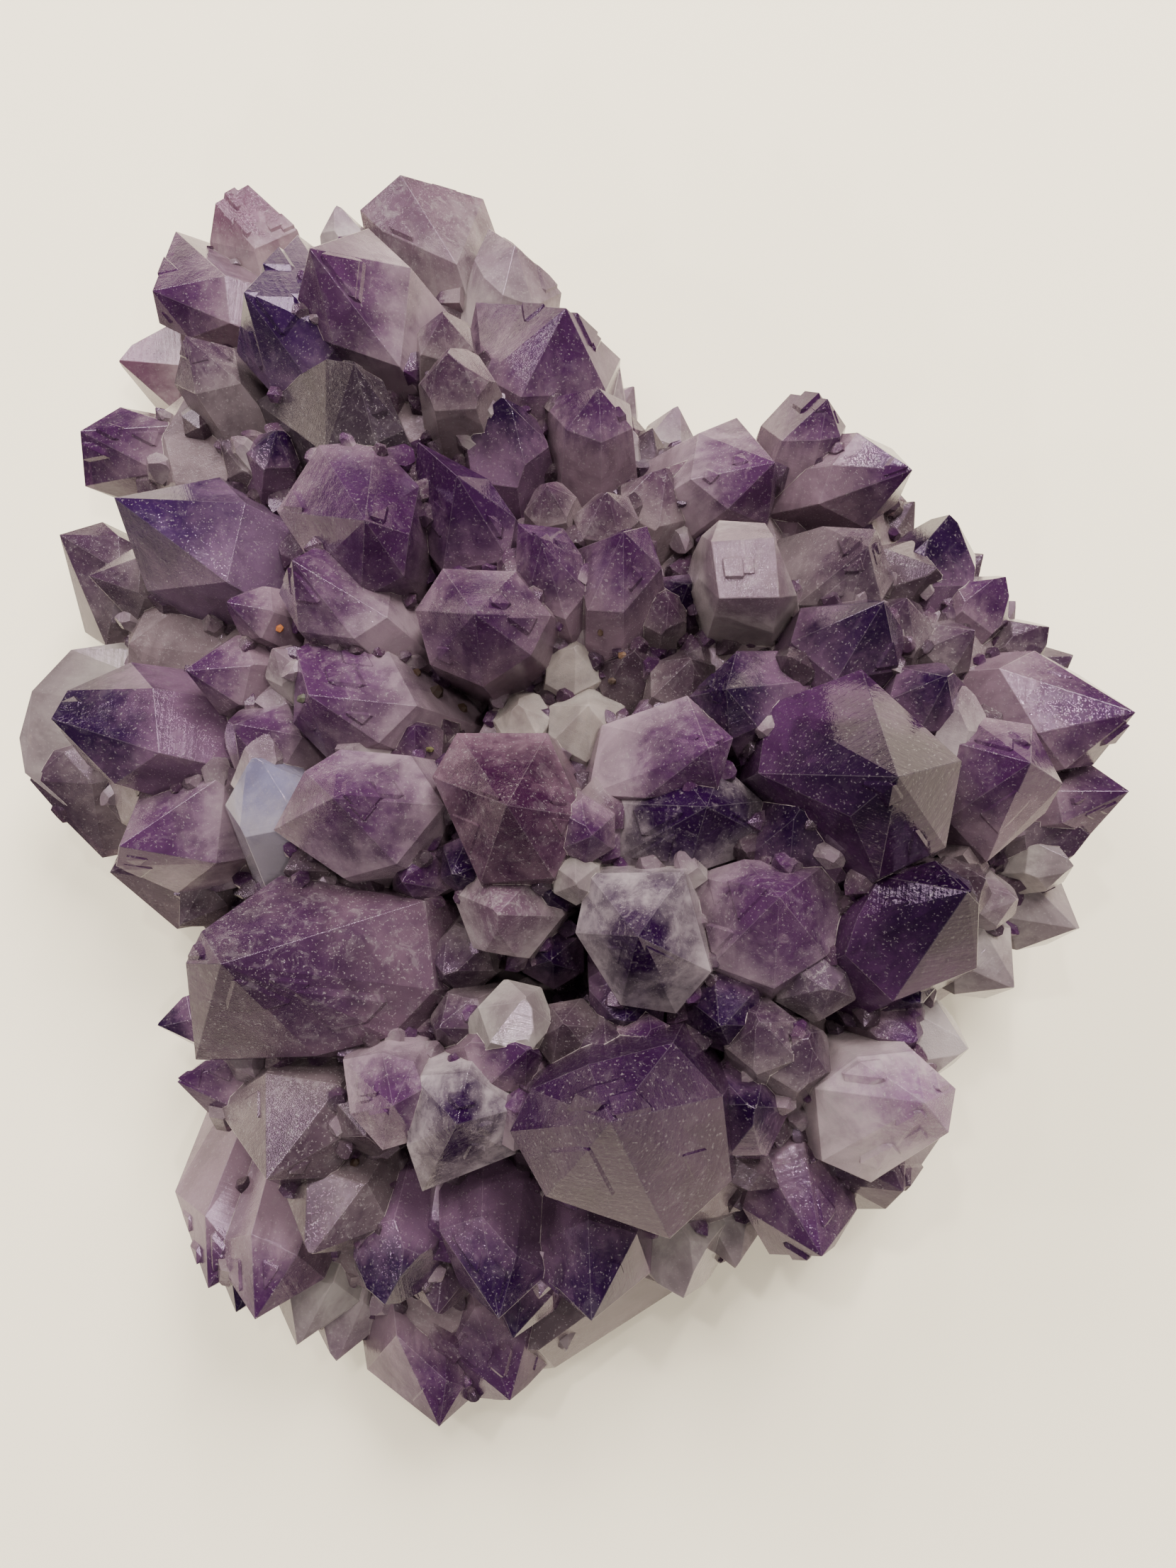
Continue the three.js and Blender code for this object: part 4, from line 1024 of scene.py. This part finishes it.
class Finish:
    # a material in the making
    def __init__(self, name):
        self.material = bpy.data.materials.new(name)
        self.material.use_nodes = True
        self.tree = self.material.node_tree
        self.tree.nodes.clear()

    def node(self, kind, settings=None, inputs=None, output=0):
        made = self.tree.nodes.new("ShaderNode" + kind)
        for key, value in (settings or {}).items():
            if key == "stops":
                stops = made.color_ramp.elements
                while len(stops) < len(value):
                    stops.new(0.5)
                for stop, (position, colour) in zip(stops, value):
                    stop.position, stop.color = position, colour
            else:
                setattr(made, key, value)
        for key, value in (inputs or {}).items():
            if isinstance(value, Value):
                self.tree.links.new(value.socket, made.inputs[key])
            else:
                made.inputs[key].default_value = value
        return Value(self.tree, made.outputs[output])

    def own(self, key, output="Fac"):
        return self.node("Attribute", {"attribute_name": key}, output=output)

    def noise(self, scale, detail=3, roughness=0.5, where=None, distortion=0.0):
        where = where or self.node("TexCoord", output="Object")
        return self.node("TexNoise", {}, {"Vector": where, "Scale": scale, "Detail": detail,
                                          "Roughness": roughness, "Distortion": distortion})

    def between(self, value, low, high, start=0.0, stop=1.0):
        return self.node("MapRange", {"interpolation_type": "SMOOTHSTEP"}, {
            "Value": value, "From Min": low, "From Max": high, "To Min": start, "To Max": stop})

    def blend(self, share, first, second, how="MIX"):
        return self.node("Mix", {"data_type": "RGBA", "blend_type": how},
                         {0: share, 6: first, 7: second}, output=2)

    def surface(self, shader, volume=None):
        out = self.tree.nodes.new("ShaderNodeOutputMaterial")
        self.tree.links.new(shader.socket, out.inputs["Surface"])
        if volume:
            self.tree.links.new(volume.socket, out.inputs["Volume"])
        return self.material


# the clear stone over the coloured zones
clearLook = {
    "transmission": 0.52,
    "glint": (0.45, 0.34, 0.50, 1),   # colour of what the faces mirror
    "gloss": 0.25,                    # how strongly they mirror it
    "ior": 1.544,
    "absorbColour": (0.80, 0.66, 0.82, 1),
    "absorbDensity": 45,
    "dust": (0.46, 0.41, 0.42, 1),
}


def crystalTint(look, start, stop, cloudiness):
    # dark towards the tip, pale towards the root, the boundary cloudy and drawn out lengthwise
    own = look.own("own", "Vector")
    long = look.node("Mapping", {}, {"Vector": own, "Scale": (3.2, 3.2, 0.7)})
    feather = look.noise(2.6, 4, 0.6, where=long, distortion=0.6)
    cloud = look.noise(75, 3, 0.5) * 0.45 + look.noise(230, 4, 0.65) * 0.3 + feather * 0.45
    fade = look.between(look.own("depth") + (cloud - 0.6) * cloudiness, start, stop)
    return look.blend(fade, look.own("tipTint", "Color"), look.own("rootTint", "Color"))


def clearQuartz():
    look = Finish("clearQuartz")
    depth, frost, chance = look.own("depth"), look.own("frost"), look.own("chance")
    tint = crystalTint(look, 0.15, 0.8, 1.3)
    wisps = look.between(look.noise(300, 5, 0.7, distortion=1.5), 0.54, 0.70)
    tint = look.blend(wisps * (0.2 + frost * 0.3), tint, look.own("rootTint", "Color"))
    frosted = look.between(look.noise(430, 5, 0.75, distortion=0.8), 0.50, 0.66)
    tint = look.blend(frosted * frost * 0.45, tint, clearLook["dust"])
    shade = look.between(look.noise(120, 4, 0.6, distortion=0.8), 0.35, 0.6, 0.35, 0.0)
    tint = look.blend(shade, tint, (0.12, 0.07, 0.13, 1), "MULTIPLY")
    motes = look.between(look.noise(2600, 2, 0.6), 0.61, 0.68)
    tint = look.blend(motes * (0.25 + frost * 0.35), tint, clearLook["dust"])
    tint = look.blend(look.own("worn") * 0.1, tint, clearLook["dust"])
    rough = 0.03 + look.between(look.noise(330, 4), 0.35, 0.8) * 0.12 + frost * 0.12
    growth = look.node("CombineXYZ", {}, {"X": depth * 9, "Y": chance * 17, "Z": 0.0})
    steps = look.noise(3, 3, 0.6, where=growth)
    pits = look.noise(1400, 3, 0.6)
    etched = look.node("TexVoronoi", {}, {"Scale": 900.0}) * frost
    height = steps * 0.4 + pits * 0.3 + look.noise(200, 2) * 0.5 + etched * 0.4
    bump = look.node("Bump", {}, {"Strength": 0.25, "Distance": 0.0004, "Height": height})
    shader = look.node("BsdfPrincipled", {}, {
        "Base Color": tint, "Roughness": rough, "Normal": bump,
        "Transmission Weight": clearLook["transmission"], "IOR": clearLook["ior"],
        "Specular Tint": clearLook["glint"], "Specular IOR Level": clearLook["gloss"]})
    volume = look.node("VolumeAbsorption", {}, {
        "Color": clearLook["absorbColour"], "Density": clearLook["absorbDensity"]})
    return look.surface(shader, volume)


def colourZone():
    look = Finish("colourZone")
    tint = crystalTint(look, 0.3, 1.2, 1.2)
    veils = look.between(look.noise(190, 6, 0.7, distortion=2.0), 0.54, 0.68)
    tint = look.blend(veils * 0.5, tint, look.own("rootTint", "Color"))
    shader = look.node("BsdfPrincipled", {}, {
        "Base Color": tint, "Roughness": 0.6, "Subsurface Weight": 0.3,
        "Subsurface Radius": (1.0, 0.8, 1.0), "Subsurface Scale": 0.003})
    return look.surface(shader)


def paleDust():
    look = Finish("paleDust")
    patch = look.between(look.noise(420, 4, 0.6), 0.38, 0.62)
    tint = look.blend(patch, (0.16, 0.12, 0.13, 1), dust["colour"])
    shader = look.node("BsdfPrincipled", {}, {"Base Color": tint, "Roughness": 0.85})
    return look.surface(shader)


def grainStone():
    look = Finish("grainStone")
    return look.surface(look.node("BsdfPrincipled", {}, {
        "Base Color": look.own("tint", "Color"), "Roughness": 0.6}))


print("working out the crystals")
crystals = [*tableCrystals(plainCrystals), *seenCrystals(tracedCrystals)]
for number, row in enumerate(underRows):
    crystals += underRimCrystals(row, number)
crystals += tableCrystals(smallCrystals, firstNumbers["small"])
for number, row in enumerate(bodyLumps):
    corners = lumpCorners(row, number)
    tip = place(row[0], row[1], row[3])
    crystals.append(quartz(tip, np.array([0.0, 0, 1]), row[2], "milk", corners))

massive = [cleaned(c["corners"], 0) for c in crystals if c["tone"] == "milk"]
crystals.sort(key=lambda c: c["tone"] == "milk")
single = [c for c in crystals if c["tone"] != "milk"]
lumps = crystals[len(single):]
large = [cleaned(c["corners"], stone["chamfer"]) for c in single]
zones, lumpZones = [], []
for crystal in crystals:
    centre = crystal["tip"] - crystal["axis"] * crystal["across"] * stone["zoneCentre"]
    if crystal["tone"] == "milk":
        centre = crystal["corners"].mean(0)
    inner = cleaned(centre + (crystal["corners"] - centre) * stone["zoneShare"], 0)
    (lumpZones if crystal["tone"] == "milk" else zones).append(inner)
holes = [pitCorners(row) for row in pits]

print("joining", len(single), "crystals and", len(lumps), "lumps of massive quartz")
bare = joined("bare", [m[0] for m in massive], holes, [s[0] for s in large])
small = druseCrystals(bare, single)
grown = [growth for number, crystal in enumerate(single)
         if "shoulder" in crystal and crystal["across"] > growths["least"]
         for growth in parallelGrowths(crystal, number, crystal["shoulder"])]
print("small crystals in the valleys", len(small), "and grown on end faces", len(grown))
dustMesh = seamDust(bare)
bpy.data.meshes.remove(bare)
zoneMesh = outerSkin(joined("colourZones", [z[0] for z in lumpZones], holes,
                            [z[0] for z in zones], stone["zoneFloor"]))
giveCrystalValues(zoneMesh, single + lumps, [z[1] for z in zones + lumpZones])
lesser = [cleaned(c["corners"], 0) for c in grown + small]
stoneMesh = outerSkin(joined("crystals", [m[0] for m in massive], holes,
                             [s[0] for s in large + lesser]))
giveCrystalValues(stoneMesh, single + grown + small + lumps,
                  [s[1] for s in large + lesser + massive])
grainMesh = grains(stoneMesh)
stonePiece = finished("crystals", stoneMesh, clearQuartz(), False)
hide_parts("amethyst_cluster")
zonePiece = finished("colour_zones", zoneMesh, colourZone(), True)
dustPiece = finished("seam_dust", dustMesh, paleDust(), False)
grainPiece = finished("mineral_and_hollow_grains", grainMesh, grainStone(), False)
for piece in (stonePiece, zonePiece, dustPiece, grainPiece):
    print(piece.name, len(piece.data.polygons), "faces")

# floor, lights and camera
studio = {
    "floorColour": (0.91, 0.82, 0.66, 1),
    "worldColour": (1, 0.965, 0.89, 1),
    "worldStrength": 0.42,
    "floorReach": 2.5,     # metres from the middle
    "aim": (0, 0, 0.03),   # what the lamps look at
    "lampColour": (1, 0.955, 0.87),
    "lamps": [
        # place, size and watts
        [(0.45, 0.7, 0.9), 0.5, 27],
        [(-0.67, 0.74, 0.78), 0.5, 16],
        [(-0.12, 0.3, 0.9), 0.04, 2.4],
        [(0.35, -0.1, 0.85), 0.04, 2.4],
        [(0.06, -1.03, 0.62), 0.06, 3.4],
        [(0.16, 0.38, 1.13), 0.05, 2.4],
        [(0.17, 0.98, 0.67), 0.06, 2.4],
        [(-1.0, -0.1, 0.75), 0.06, 2.4],
    ],
}

floorMesh = bpy.data.meshes.new("floor")
reach = studio["floorReach"]
floorMesh.from_pydata([(-reach, -reach, 0), (reach, -reach, 0), (reach, reach, 0), (-reach, reach, 0)], [],
                      [(0, 1, 2, 3)])
floor = bpy.data.objects.new("floor", floorMesh)
bpy.context.scene.collection.objects.link(floor)
floorLook = Finish("paleFloor")
floorMesh.materials.append(floorLook.surface(floorLook.node("BsdfPrincipled", {}, {
    "Base Color": studio["floorColour"], "Roughness": 0.8})))

world = bpy.data.worlds.new("studio")
bpy.context.scene.world = world
world.use_nodes = True
world.node_tree.nodes["Background"].inputs["Color"].default_value = studio["worldColour"]
world.node_tree.nodes["Background"].inputs["Strength"].default_value = studio["worldStrength"]
for number, (where, size, watts) in enumerate(studio["lamps"]):
    lamp = bpy.data.lights.new(f"lamp{number}", "AREA")
    lamp.size, lamp.energy, lamp.color = size, watts, studio["lampColour"]
    holder = bpy.data.objects.new(lamp.name, lamp)
    holder.location = where
    holder.rotation_euler = (Vector(studio["aim"]) - Vector(where)).to_track_quat("-Z", "Y").to_euler()
    bpy.context.scene.collection.objects.link(holder)

cameraData = bpy.data.cameras.new("camera")
cameraData.sensor_fit = "VERTICAL"
cameraData.sensor_height = survey["sensor"]
cameraData.lens = survey["lens"]
cameraData.clip_start, cameraData.clip_end = 0.01, 20
camera = bpy.data.objects.new("camera", cameraData)
turned = Matrix([sightRight, sightUp, toViewer]).transposed().to_4x4()
camera.matrix_world = Matrix.Translation(Vector((viewer - middle) * mm)) @ turned
bpy.context.scene.collection.objects.link(camera)
bpy.context.scene.camera = camera
